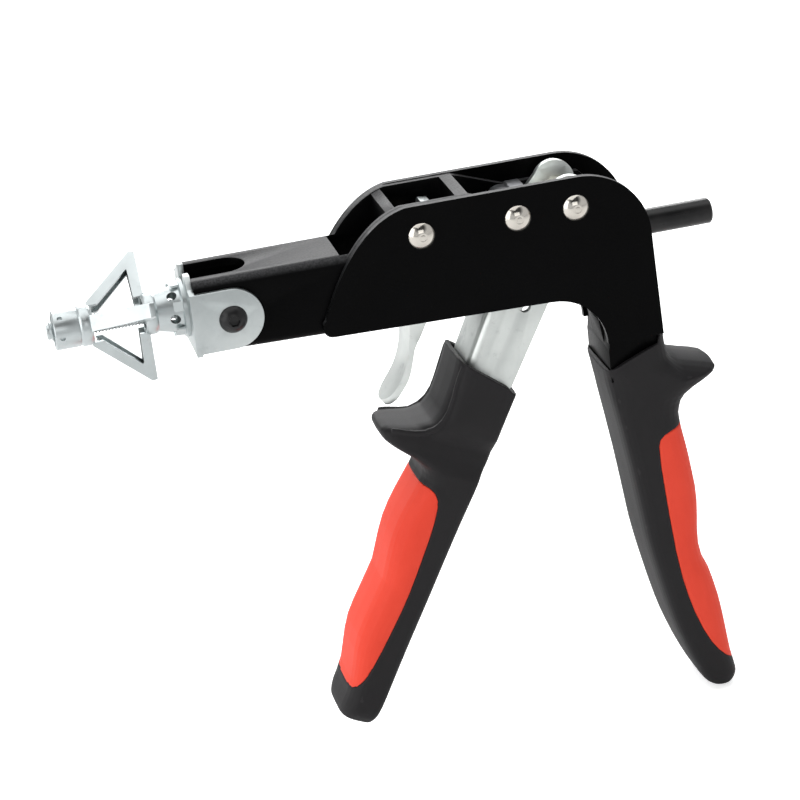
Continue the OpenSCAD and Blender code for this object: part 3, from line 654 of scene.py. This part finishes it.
class Bench:
    """Modelling moves that the sub-assemblies share."""

    # lengths in metres, angles in radians apart from the shading angle's degrees
    merge: float = 0.000002
    flat: float = math.radians(1.0)
    sharp: float = 0.8
    straight: float = 0.0001
    shade_angle: float = 40.0
    ease_steps: int = 2

    @staticmethod
    def clear() -> None:
        """Deselects everything."""
        bpy.ops.object.select_all(action="DESELECT")

    @staticmethod
    def take(piece: bpy.types.Object) -> None:
        """Makes a piece the only selected one, and the active one.

        Args:
            piece: The piece.
        """
        Bench.clear()
        piece.select_set(True)
        bpy.context.view_layer.objects.active = piece

    @staticmethod
    def copy_of(node: bpy.types.Object, name: str) -> bpy.types.Object:
        """A free copy of a CAD node with its doubled points merged.

        Args:
            node: The node's object.
            name: The copy's name.

        Returns:
            The copy.
        """
        piece = bpy.data.objects.new(name, node.data.copy())
        piece.data.name = name
        bpy.context.scene.collection.objects.link(piece)
        Bench.edit(
            piece,
            lambda: bpy.ops.mesh.remove_doubles(threshold=Bench.merge),
            bpy.ops.mesh.customdata_custom_splitnormals_clear,
        )
        return piece

    @staticmethod
    def apply(piece: bpy.types.Object, kind: str, **settings: object) -> None:
        """Adds one modifier and applies it.

        Args:
            piece: The piece.
            kind: The modifier's type.
            settings: Its attributes.
        """
        Bench.take(piece)
        made = piece.modifiers.new(kind.lower(), kind)
        for key, value in settings.items():
            setattr(made, key, value)
        bpy.ops.object.modifier_apply(modifier=made.name)

    @staticmethod
    def smooth(piece: bpy.types.Object, degrees: float) -> None:
        """Smooth shading across edges flatter than an angle.

        Args:
            piece: The piece.
            degrees: The angle.
        """
        Bench.take(piece)
        bpy.ops.object.shade_smooth_by_angle(angle=math.radians(degrees))

    @staticmethod
    def edit(piece: bpy.types.Object, *moves: Callable[[], object]) -> None:
        """Runs operators in edit mode on a whole piece.

        Args:
            piece: The piece.
            moves: The operators, in order.
        """
        Bench.take(piece)
        bpy.ops.object.mode_set(mode="EDIT")
        bpy.ops.mesh.select_all(action="SELECT")
        for move in moves:
            move()
        bpy.ops.object.mode_set(mode="OBJECT")

    @staticmethod
    def bevel(piece: bpy.types.Object, width: float, segments: int, **limit: object) -> None:
        """Bevels chosen edges of a piece.

        Args:
            piece: The piece.
            width: The bevel's width in metres.
            segments: Steps round each edge.
            limit: The modifier's attributes that choose the edges.
        """
        Bench.apply(
            piece,
            "BEVEL",
            width=width,
            segments=segments,
            use_clamp_overlap=True,
            miter_outer="MITER_ARC",
            **limit,
        )
        Bench.smooth(piece, Bench.shade_angle)

    @staticmethod
    def round_part(piece: bpy.types.Object, rounding: Rounding) -> None:
        """Rounds the sharp edges of one part of a piece.

        Args:
            piece: The piece.
            rounding: The part and the size of its rounding.
        """
        mesh = bmesh.new()
        mesh.from_mesh(piece.data)
        weight = mesh.edges.layers.float.new("bevel_weight_edge")
        for edge in mesh.edges:
            chosen = all(rounding.test(vertex.co) for vertex in edge.verts)
            edge[weight] = float(chosen and edge.calc_face_angle(0.0) > Bench.sharp)
        mesh.to_mesh(piece.data)
        mesh.free()
        Bench.bevel(piece, rounding.width, rounding.segments, limit_method="WEIGHT")

    @staticmethod
    def ease_edges(
        piece: bpy.types.Object, width: float, angle: float, rounding: Optional[Rounding] = None
    ) -> None:
        """Eases a piece's sharp edges by a small bevel.

        Args:
            piece: The piece.
            width: The bevel's width in metres.
            angle: Edges sharper than this are eased, in degrees.
            rounding: The part that is rounded more.
        """
        Bench.edit(piece, lambda: bpy.ops.mesh.dissolve_limited(angle_limit=Bench.flat))
        if rounding:
            Bench.round_part(piece, rounding)
        limit = {"limit_method": "ANGLE", "angle_limit": math.radians(angle)}
        Bench.bevel(piece, width, Bench.ease_steps, **limit)

    @staticmethod
    def melt(piece: bpy.types.Object, extras: Iterable[bpy.types.Object], voxel: float) -> None:
        """Melts closed pieces into another as one skin.

        Args:
            piece: The piece that stays.
            extras: The pieces that go into it.
            voxel: Size of the skin's facets in metres.
        """
        Bench.take(piece)
        for extra in extras:
            extra.select_set(True)
        if len(bpy.context.selected_objects) > 1:
            bpy.ops.object.join()
        Bench.apply(piece, "REMESH", mode="VOXEL", voxel_size=voxel)

    @staticmethod
    def relax(
        piece: bpy.types.Object, rounds: int, test: Optional[Callable[[Vector], bool]] = None
    ) -> None:
        """Smooths a skin, or one part of it.

        Args:
            piece: The piece.
            rounds: How often it is smoothed.
            test: Takes a point in metres and says whether it is smoothed; None for all.
        """
        group = ""
        if test is not None:
            group = "part_{}".format(len(piece.vertex_groups))
            chosen = [vertex.index for vertex in piece.data.vertices if test(vertex.co)]
            piece.vertex_groups.new(name=group).add(chosen, 1.0, "REPLACE")
        Bench.apply(piece, "SMOOTH", factor=0.5, iterations=rounds, vertex_group=group)

    @staticmethod
    def block(name: str, low: Point, high: Point) -> bpy.types.Object:
        """A box between two corners, to be melted in or cut away.

        Args:
            name: Its name.
            low: Its lowest corner in metres.
            high: Its highest corner in metres.

        Returns:
            The box.
        """
        Bench.clear()
        middle = [(a + b) / 2.0 for a, b in zip(low, high)]
        bpy.ops.mesh.primitive_cube_add(size=1.0, location=middle)
        box = bpy.context.object
        box.name = name
        box.scale = [b - a for a, b in zip(low, high)]
        bpy.ops.object.transform_apply()
        return box

    @staticmethod
    def bead_along(
        name: str, points: Sequence[Point], radius: float, sides: int
    ) -> bpy.types.Object:
        """A closed round bead along a row of points.

        Args:
            name: The bead's name.
            points: The points that its middle follows, in metres.
            radius: Its radius.
            sides: Corners round it.

        Returns:
            The bead.
        """
        Bench.clear()
        bpy.ops.mesh.primitive_circle_add(vertices=sides, radius=radius, fill_type="NGON")
        bead = bpy.context.object
        bead.name = name
        bead.data.name = name
        path = [Vector(p) for p in points]
        start = (path[1] - path[0]).normalized()
        turn = Vector((0.0, 0.0, 1.0)).rotation_difference(start).to_matrix().to_4x4()
        bead.data.transform(Matrix.Translation(path[0]) @ turn)
        Bench.take(bead)
        bpy.ops.object.mode_set(mode="EDIT")
        bpy.ops.mesh.select_all(action="SELECT")
        heading = start
        for index in range(1, len(path)):
            step = path[index] - path[index - 1]
            bpy.ops.mesh.extrude_region_move(TRANSFORM_OT_translate={"value": step})
            ahead = (path[min(index + 1, len(path) - 1)] - path[index - 1]).normalized()
            quat = heading.rotation_difference(ahead)
            if quat.angle > Bench.straight:
                mesh = bmesh.from_edit_mesh(bead.data)
                chosen = [v for v in mesh.verts if v.select]
                spin = (
                    Matrix.Translation(path[index])
                    @ quat.to_matrix().to_4x4()
                    @ Matrix.Translation(-path[index])
                )
                bmesh.ops.transform(mesh, matrix=spin, verts=chosen)
                bmesh.update_edit_mesh(bead.data)
            heading = ahead
        bpy.ops.mesh.select_all(action="SELECT")
        bpy.ops.mesh.normals_make_consistent(inside=False)
        bpy.ops.object.mode_set(mode="OBJECT")
        return bead


@dataclass
class Assembly:
    """What every sub-assembly knows: the CAD nodes, the record and the finishes."""

    nodes: dict
    record: dict
    finishes: Finishes
    # formed curves have facets below this angle, and their true edges lie above it
    formed: ClassVar[float] = 40.0

    def slot_of(self, node: str) -> str:
        """The record's slot of a CAD node.

        Args:
            node: The node's name.

        Returns:
            The slot's name.
        """
        return next(s["material_slot"] for s in self.record["subparts"] if s["node"] == node)

    def dress(self, node: str, finish: Optional[bpy.types.Material] = None) -> None:
        """Gives a CAD node that stays its finish.

        Args:
            node: The node's name.
            finish: A finish other than its slot's.
        """
        paint(self.nodes[node], finish or self.finishes.by_slot[self.slot_of(node)])
        LOG.info("dressed %s", node)

    def settle(
        self,
        piece: bpy.types.Object,
        body: Body,
        node: Optional[str] = None,
        finish: Optional[bpy.types.Material] = None,
        slot: Optional[str] = None,
    ) -> None:
        """Finishes a new piece, lets it ride and stands it for a CAD node.

        Args:
            piece: The piece.
            body: The body that it rides on.
            node: The CAD node that it replaces.
            finish: A finish other than its slot's.
            slot: The slot's name, when it replaces no node.
        """
        name = slot or self.slot_of(node or "")
        paint(piece, finish or self.finishes.by_slot[name])
        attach(piece, body.value)
        if node:
            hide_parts(node)
        LOG.info("made %s, %d faces", piece.name, len(piece.data.polygons))

    def ease(
        self,
        node: str,
        body: Body,
        width: float,
        angle: float = 28.0,
        finish: Optional[bpy.types.Material] = None,
        rounding: Optional[Rounding] = None,
    ) -> None:
        """Replaces a CAD node by the same shape with eased edges.

        Args:
            node: The node's name.
            body: The body that it rides on.
            width: Width of the easing in metres.
            angle: Edges sharper than this are eased, in degrees.
            finish: A finish other than its slot's.
            rounding: The part that is rounded more.
        """
        piece = Bench.copy_of(self.nodes[node], node + "_eased")
        Bench.ease_edges(piece, width, angle, rounding)
        self.settle(piece, body, node, finish)


@dataclass
class Housing(Assembly):
    """Casting, side plates and what is fastened to them."""

    plate_edge: float = 0.2 * MM
    plate_round: float = 0.75 * MM
    plate_face_y: float = 13.9 * MM
    casting_edge: float = 0.3 * MM
    spacer_edge: float = 0.3 * MM

    def build(self) -> None:
        """Builds the housing's pieces."""
        self.ease("frame_casting", Body.HOUSING, self.casting_edge, self.formed)
        outer = Rounding(lambda place: abs(place.y) > self.plate_face_y, self.plate_round)
        for node in ("side_plate_near", "side_plate_far"):
            self.ease(node, Body.HOUSING, self.plate_edge, self.formed, rounding=outer)
        self.ease("middle_spacer", Body.HOUSING, self.spacer_edge)


@dataclass
class Nose(Assembly):
    """The slotted nose bracket and its two screws."""

    bracket_edge: float = 0.25 * MM
    screw_edge: float = 0.15 * MM

    def build(self) -> None:
        """Builds the nose's pieces."""
        self.ease("nose_bracket", Body.HOUSING, self.bracket_edge, self.formed)
        self.ease("bracket_screws", Body.HOUSING, self.screw_edge, self.formed)


@dataclass
class Rivets(Assembly):
    """The three domed rivets through the body."""

    edge: float = 0.12 * MM
    angle: float = 35.0

    def build(self) -> None:
        """Builds the rivets."""
        for node in ("trigger_rivet", "middle_rivet", "lever_rivet"):
            self.ease(node, Body.HOUSING, self.edge, self.angle)


@dataclass
class LeverArm(Assembly):
    """The pressed lever with its bush and drive pin."""

    edge: float = 0.3 * MM

    def build(self) -> None:
        """Builds the lever's pieces."""
        self.ease("front_lever", Body.LEVER, self.edge, self.formed, self.finishes.lever)
        self.dress("lever_bush")
        self.dress("drive_pin")


@dataclass
class Grips(Assembly):
    """The moulded grips with their soft inserts."""

    voxel: float = 0.3 * MM
    rounds: int = 3
    # the share of the skin's facets that is kept
    keep: float = 0.3
    foot: float = 8.0 * MM
    foot_rounds: int = 40
    # heights and depths along the lever, and the hook's places, are in millimetres
    guard_span: tuple[float, float] = (-30.5, -2.0)
    guard_rounds: int = 20
    rim: tuple[tuple[float, float], tuple[float, float]] = ((-18.85, 5.6), (-3.1, 1.95))
    rim_cut: Point = (40.0 * MM, 20.0 * MM, 20.0 * MM)
    mouth: tuple[Point, Point] = (
        (127.3 * MM, -11.2 * MM, -47.5 * MM),
        (143.5 * MM, 11.2 * MM, -43.2 * MM),
    )
    hook_x: tuple[float, float] = (145.0, 151.0)
    hook_z: tuple[float, float] = (-51.0, -45.0)
    hook_half: float = 11.0
    crown: float = 2.0 * MM
    bead_r: float = 0.95 * MM
    bead_sides: int = 10
    bead_rounds: int = 2
    # depth, side and height in millimetres, in the lever's own frame, down from the rim
    bead_line: ClassVar[tuple[Point, ...]] = (
        (-17.9, 11.2, 4.3), (-17.9, 10.85, 1.15), (-17.7, 10.9, -2.6), (-17.35, 11.3, -6.6),
        (-17.35, 11.35, -10.6), (-18.1, 11.45, -14.1), (-19.75, 11.4, -17.0),
        (-22.45, 10.95, -19.3), (-25.4, 10.75, -20.3), (-28.35, 10.45, -20.9),
        (-30.85, 9.85, -21.35), (-32.3, 9.25, -21.75),
    )
    top_corner: Point = (95.2 * MM, 0.0, -43.5 * MM)

    def in_lever(self, depth: float, side: float, height: float) -> Point:
        """A point of the lever's own frame, in the CAD frame.

        Args:
            depth: Towards the rear, in millimetres.
            side: Across, in millimetres.
            height: Up along the lever, in millimetres.

        Returns:
            The point in metres.
        """
        cosine, sine = math.cos(LEVER_LEAN), math.sin(LEVER_LEAN)
        x = self.top_corner[0] + MM * (depth * cosine + height * sine)
        z = self.top_corner[2] + MM * (-depth * sine + height * cosine)
        return (x, side * MM, z)

    def lever_height(self, place: Vector) -> float:
        """How high up along the lever a point lies.

        Args:
            place: The point in metres.

        Returns:
            The height in millimetres.
        """
        x = (place.x - self.top_corner[0]) / MM
        z = (place.z - self.top_corner[2]) / MM
        return x * math.sin(LEVER_LEAN) + z * math.cos(LEVER_LEAN)

    def guard_beads(self) -> list[bpy.types.Object]:
        """Raised lips down both edges of the front grip's neck and out along its guard.

        Returns:
            The two lips.
        """
        beads = []
        for side in (-1.0, 1.0):
            line = [self.in_lever(depth, side * y, height) for depth, y, height in self.bead_line]
            beads.append(Bench.bead_along("guard_bead", line, self.bead_r, self.bead_sides))
        return beads

    def lower_rim(self, piece: bpy.types.Object) -> None:
        """Cuts the front grip's slanted rim to its height.

        Args:
            piece: The front grip.
        """
        (depth, height), (far_depth, far_height) = self.rim
        slant = math.atan2(far_height - height, far_depth - depth) - LEVER_LEAN
        along, across, tall = self.rim_cut
        cutter = Bench.block("rim_cutter", (-along, -across, 0.0), (along, across, tall))
        place = Matrix.Translation(self.in_lever(depth, 0.0, height))
        cutter.data.transform(place @ Matrix.Rotation(-slant, 4, "Y"))
        Bench.apply(piece, "BOOLEAN", operation="DIFFERENCE", object=cutter, solver="EXACT")
        bpy.data.objects.remove(cutter)

    def crown_hook(self, piece: bpy.types.Object) -> None:
        """Lowers both sides of the thumb hook's top, so that it is crowned.

        Args:
            piece: The rear grip.
        """
        for vertex in piece.data.vertices:
            x, y, z = (value / MM for value in vertex.co)
            share = ramp(x, *self.hook_x) * ramp(z, *self.hook_z)
            vertex.co.z -= self.crown * share * (y / self.hook_half) ** 2

    def blank(self, node: str) -> bpy.types.Object:
        """A copy of a grip or insert, to be moulded.

        Args:
            node: The CAD node's name.

        Returns:
            The copy.
        """
        return Bench.copy_of(self.nodes[node], node + "_moulded")

    def soften(
        self, piece: bpy.types.Object, extras: Iterable[bpy.types.Object] = ()
    ) -> None:
        """Turns a piece into one softened skin.

        Args:
            piece: The piece.
            extras: Closed pieces that are melted into it.
        """
        Bench.melt(piece, extras, self.voxel)
        Bench.relax(piece, self.rounds)

    def round_foot(self, piece: bpy.types.Object) -> None:
        """Rounds the lowest part of a grip.

        Args:
            piece: The grip.
        """
        low = min(vertex.co.z for vertex in piece.data.vertices) + self.foot
        Bench.relax(piece, self.foot_rounds, lambda place: place.z < low)

    def moulded(self, node: str, body: Body, piece: bpy.types.Object) -> None:
        """Thins out a moulding's flat areas and lets it ride.

        Args:
            node: The CAD node that it replaces.
            body: The body that it rides on.
            piece: The moulding.
        """
        Bench.apply(piece, "DECIMATE", decimate_type="COLLAPSE", ratio=self.keep)
        Bench.take(piece)
        bpy.ops.object.shade_smooth()
        self.settle(piece, body, node)

    def front_grip(self) -> None:
        """Builds the front grip, with its finger guard and the lips on it."""
        low, high = self.guard_span
        grip = self.blank("front_grip")
        self.lower_rim(grip)
        self.soften(grip)
        self.round_foot(grip)
        Bench.relax(grip, self.guard_rounds, lambda place: low < self.lever_height(place) < high)
        Bench.melt(grip, self.guard_beads(), self.voxel)
        Bench.relax(grip, self.bead_rounds)
        self.moulded("front_grip", Body.LEVER, grip)

    def rear_grip(self) -> None:
        """Builds the rear grip, with its closed mouth and its thumb hook."""
        mouth = Bench.block("mouth_fill", *self.mouth)
        grip = self.blank("rear_grip")
        self.soften(grip, [mouth])
        self.round_foot(grip)
        self.crown_hook(grip)
        self.moulded("rear_grip", Body.HOUSING, grip)

    def build(self) -> None:
        """Builds the four mouldings."""
        self.front_grip()
        self.rear_grip()
        for node, body in (("front_grip_insert", Body.LEVER), ("rear_grip_insert", Body.HOUSING)):
            insert = self.blank(node)
            self.soften(insert)
            self.moulded(node, body, insert)


@dataclass
class Clutch(Assembly):
    """Drive plates, lock plate and their springs."""

    drive_edge: float = 0.2 * MM
    lock_edge: float = 0.3 * MM

    def build(self) -> None:
        """Builds the clutch's pieces."""
        self.ease("drive_plate_front", Body.DRIVE, self.drive_edge)
        self.ease("drive_plate_rear", Body.DRIVE, self.drive_edge)
        self.ease("lock_plate", Body.LOCK, self.lock_edge)
        self.dress("return_spring")
        self.dress("lock_spring")


@dataclass
class Trigger(Assembly):
    """The pressed release trigger."""

    edge: float = 0.3 * MM

    def build(self) -> None:
        """Builds the trigger."""
        self.ease("release_trigger", Body.TRIGGER, self.edge, self.formed, self.finishes.lever)


@dataclass
class RodAndClaw(Assembly):
    """Pull rod, claw and the pin that joins them."""

    rod_edge: float = 0.15 * MM
    rod_angle: float = 30.0
    claw_edge: float = 0.25 * MM

    def build(self) -> None:
        """Builds the rod's pieces."""
        self.ease("pull_rod", Body.ROD, self.rod_edge, self.rod_angle)
        self.ease("pull_claw", Body.ROD, self.claw_edge, self.formed)
        self.dress("claw_pin")


@dataclass
class SetAnchor(Assembly):
    """The set anchor: folded sleeve, nut and threaded screw."""

    pitch: float = 1.0 * MM
    crest: float = 3.0 * MM
    root: float = 2.45 * MM
    sunk: float = 0.1 * MM
    tip_x: float = -42.0 * MM
    thread_end_x: float = -3.0 * MM
    # shares of the pitch: the thread's start behind the tip, and its foot and top in one turn
    first_ridge: float = 0.6
    ridge_foot: float = 0.02
    ridge_top: float = 0.42
    ridge_steps: int = 28
    core_end_x: float = 30.4 * MM
    core_angle: float = 35.0
    ridge_angle: float = 30.0
    sleeve_edge: float = 0.1 * MM
    leg_turn: float = math.radians(158.0)
    leg_rear: float = -11.0 * MM
    leg_low: float = 6.7 * MM
    leg_slim: float = 0.86
    leg_round: float = 0.32 * MM

    def on_leg(self, place: Vector) -> bool:
        """Says whether a point lies on one of the sleeve's folded legs.

        Args:
            place: The point in metres.

        Returns:
            True on a leg.
        """
        return place.x < self.leg_rear and math.hypot(place.y, place.z) > self.leg_low

    def slim_legs(self, sleeve: bpy.types.Object) -> None:
        """Draws the long edges of the legs together.

        Args:
            sleeve: The sleeve.
        """
        third = 2.0 * math.pi / 3.0
        for vertex in sleeve.data.vertices:
            if not self.on_leg(vertex.co):
                continue
            radius = math.hypot(vertex.co.y, vertex.co.z)
            angle = math.atan2(vertex.co.z, vertex.co.y)
            middle = self.leg_turn + third * round((angle - self.leg_turn) / third)
            along = radius * math.cos(angle - middle)
            across = self.leg_slim * radius * math.sin(angle - middle)
            vertex.co.y = along * math.cos(middle) - across * math.sin(middle)
            vertex.co.z = along * math.sin(middle) + across * math.cos(middle)

    def screw_core(self) -> bpy.types.Object:
        """The screw's core, plain shank and head as one turned piece.

        Returns:
            The core.
        """
        core = Bench.copy_of(self.nodes["anchor_screw"], "anchor_screw_cut")
        for vertex in core.data.vertices:
            place = vertex.co
            radius = math.hypot(place.y, place.z)
            if place.x < self.core_end_x and radius > self.root:
                scale = self.root / radius
                place.y *= scale
                place.z *= scale
        Bench.smooth(core, self.core_angle)
        return core

    def thread(self) -> bpy.types.Object:
        """The thread's ridge, wound along the core.

        Returns:
            The ridge.
        """
        Bench.clear()
        bpy.ops.mesh.primitive_plane_add(size=1.0)
        ridge = bpy.context.object
        ridge.name = "anchor_screw_thread"
        ridge.data.name = "anchor_screw_thread"
        foot = self.root - self.sunk
        corners = (
            (self.ridge_foot, foot),
            (self.ridge_top, self.crest),
            (1.0 - self.ridge_top, self.crest),
            (1.0 - self.ridge_foot, foot),
        )
        round_the_plane = (0, 2, 3, 1)
        for index, (along, radius) in zip(round_the_plane, corners):
            x = self.tip_x + (self.first_ridge + along) * self.pitch
            ridge.data.vertices[index].co = (x, 0.0, radius)
        Bench.edit(ridge, lambda: bpy.ops.mesh.delete(type="ONLY_FACE"))
        Bench.apply(
            ridge,
            "SCREW",
            axis="X",
            angle=2.0 * math.pi,
            screw_offset=self.pitch,
            iterations=int((self.thread_end_x - self.tip_x) / self.pitch) - 1,
            steps=self.ridge_steps,
            render_steps=self.ridge_steps,
            use_merge_vertices=False,
        )
        Bench.edit(
            ridge,
            lambda: bpy.ops.mesh.select_all(action="DESELECT"),
            bpy.ops.mesh.select_non_manifold,
            bpy.ops.mesh.edge_face_add,
            lambda: bpy.ops.mesh.select_all(action="SELECT"),
            lambda: bpy.ops.mesh.normals_make_consistent(inside=False),
        )
        Bench.smooth(ridge, self.ridge_angle)
        return ridge

    def sleeve(self) -> bpy.types.Object:
        """The folded sleeve with slim, round-edged legs.

        Returns:
            The sleeve.
        """
        sleeve = Bench.copy_of(self.nodes["anchor_sleeve"], "anchor_sleeve_eased")
        self.slim_legs(sleeve)
        legs = Rounding(self.on_leg, self.leg_round)
        Bench.ease_edges(sleeve, self.sleeve_edge, self.formed, legs)
        return sleeve

    def build(self) -> None:
        """Builds the anchor's pieces."""
        zinc = self.finishes.anchor
        self.settle(self.screw_core(), Body.ROD, "anchor_screw", zinc)
        self.settle(self.thread(), Body.ROD, None, zinc, "zinc_plate")
        self.settle(self.sleeve(), Body.ROD, "anchor_sleeve", zinc)
        self.dress("anchor_nut", zinc)


@dataclass(frozen=True)
class Lamp:
    """A soft rectangular lamp."""

    name: str
    place: Point
    size: tuple[float, float]
    power: float

    def hang(self, aim: Point) -> None:
        """Hangs the lamp.

        Args:
            aim: What it points at, in metres.
        """
        data = bpy.data.lights.new(self.name, "AREA")
        data.shape = "RECTANGLE"
        data.size, data.size_y = self.size
        data.energy = self.power
        lamp = bpy.data.objects.new(self.name, data)
        bpy.context.scene.collection.objects.link(lamp)
        away = Vector(self.place) - Vector(aim)
        turn = away.to_track_quat("Z", "Y").to_matrix().to_4x4()
        lamp.matrix_world = Matrix.Translation(Vector(self.place)) @ turn


@dataclass
class Studio:
    """Floor, lights, world and the camera that took the picture."""

    floor_z: float = -159.3 * MM
    floor_size: float = 8.0
    lens: float = 133.01
    sensor: float = 36.0
    clip: tuple[float, float] = (0.01, 20.0)
    eye: Point = (-97.732 * MM, -832.635 * MM, 301.835 * MM)
    axes: tuple[Point, Point, Point] = (
        (0.9668120, -0.2308588, -0.1094475),
        (0.1865527, 0.3451943, 0.9198038),
        (-0.1745642, -0.9096951, 0.3768053),
    )
    dark_side: Point = (0.05, -0.62, 0.78)
    dark_edge: tuple[float, float] = (0.72, 0.92)
    light: tuple[float, float] = (0.64, 0.05)
    aim: Point = (0.07, 0.0, -0.05)
    lamps: tuple[Lamp, ...] = (
        Lamp("top_softbox", (0.0, 0.1, 0.95), (1.4, 1.4), 6.4),
        Lamp("left_softbox", (-0.95, -0.35, 0.35), (0.9, 1.1), 4.6),
        Lamp("back_strip", (0.15, 1.15, 0.5), (1.3, 0.5), 9.5),
        Lamp("front_fill", (0.1, -1.2, 0.55), (0.8, 0.5), 1.5),
    )

    def camera(self) -> None:
        """Sets up the camera at the picture's viewpoint."""
        data = bpy.data.cameras.new("picture_camera")
        data.lens = self.lens
        data.sensor_width = self.sensor
        data.sensor_fit = "HORIZONTAL"
        data.clip_start, data.clip_end = self.clip
        eye = bpy.data.objects.new("picture_camera", data)
        bpy.context.scene.collection.objects.link(eye)
        turn = Matrix(self.axes).transposed().to_4x4()
        eye.matrix_world = Matrix.Translation(Vector(self.eye)) @ turn
        bpy.context.scene.camera = eye

    def floor(self) -> None:
        """Lays the floor."""
        Bench.clear()
        bpy.ops.mesh.primitive_plane_add(size=self.floor_size, location=(0.05, 0.0, self.floor_z))
        floor = bpy.context.object
        floor.name = "floor"
        paint(floor, PaleFloor().make())
        floor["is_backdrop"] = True

    def world(self) -> None:
        """A white room for the eye, and a softer one for the light."""
        sky = Sky("white_room")
        heading = sky.node("ShaderNodeTexCoord", output="Generated")
        toward = sky.node(
            "ShaderNodeVectorMath",
            {"operation": "DOT_PRODUCT"},
            {0: heading, 1: Vector(self.dark_side).normalized()},
            "Value",
        )
        strength = sky.span(toward, *self.dark_edge, *self.light)
        cool = {"Color": (0.98, 0.99, 1.0), "Strength": strength}
        white = {"Color": (1.0, 1.0, 1.0), "Strength": 1.0}
        light = sky.node("ShaderNodeBackground", {}, cool)
        seen = sky.node("ShaderNodeBackground", {}, white)
        camera_ray = sky.node("ShaderNodeLightPath", output="Is Camera Ray")
        sky.close(sky.node("ShaderNodeMixShader", {}, {0: camera_ray, 1: light, 2: seen}))
        bpy.context.scene.world = sky.world

    def build(self) -> None:
        """Builds the whole studio."""
        self.camera()
        self.floor()
        self.world()
        for lamp in self.lamps:
            lamp.hang(self.aim)
        bpy.context.scene.view_settings.view_transform = "Standard"


def main(frame: dict, cad_box: Sequence) -> None:
    """Builds every sub-assembly and the studio.

    Args:
        frame: The loaded CAD frame.
        cad_box: The CAD model's box; not used.
    """
    logging.basicConfig(level=logging.INFO, format="%(message)s")
    finishes = Finishes()
    given = (frame["nodes"], frame["record"], finishes)
    for maker in (Housing, Nose, Rivets, LeverArm, Grips, Clutch, Trigger, RodAndClaw, SetAnchor):
        maker(*given).build()
    Studio().build()
    Bench.clear()


if __name__ == "__main__":
    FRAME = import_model()
    main(FRAME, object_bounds())
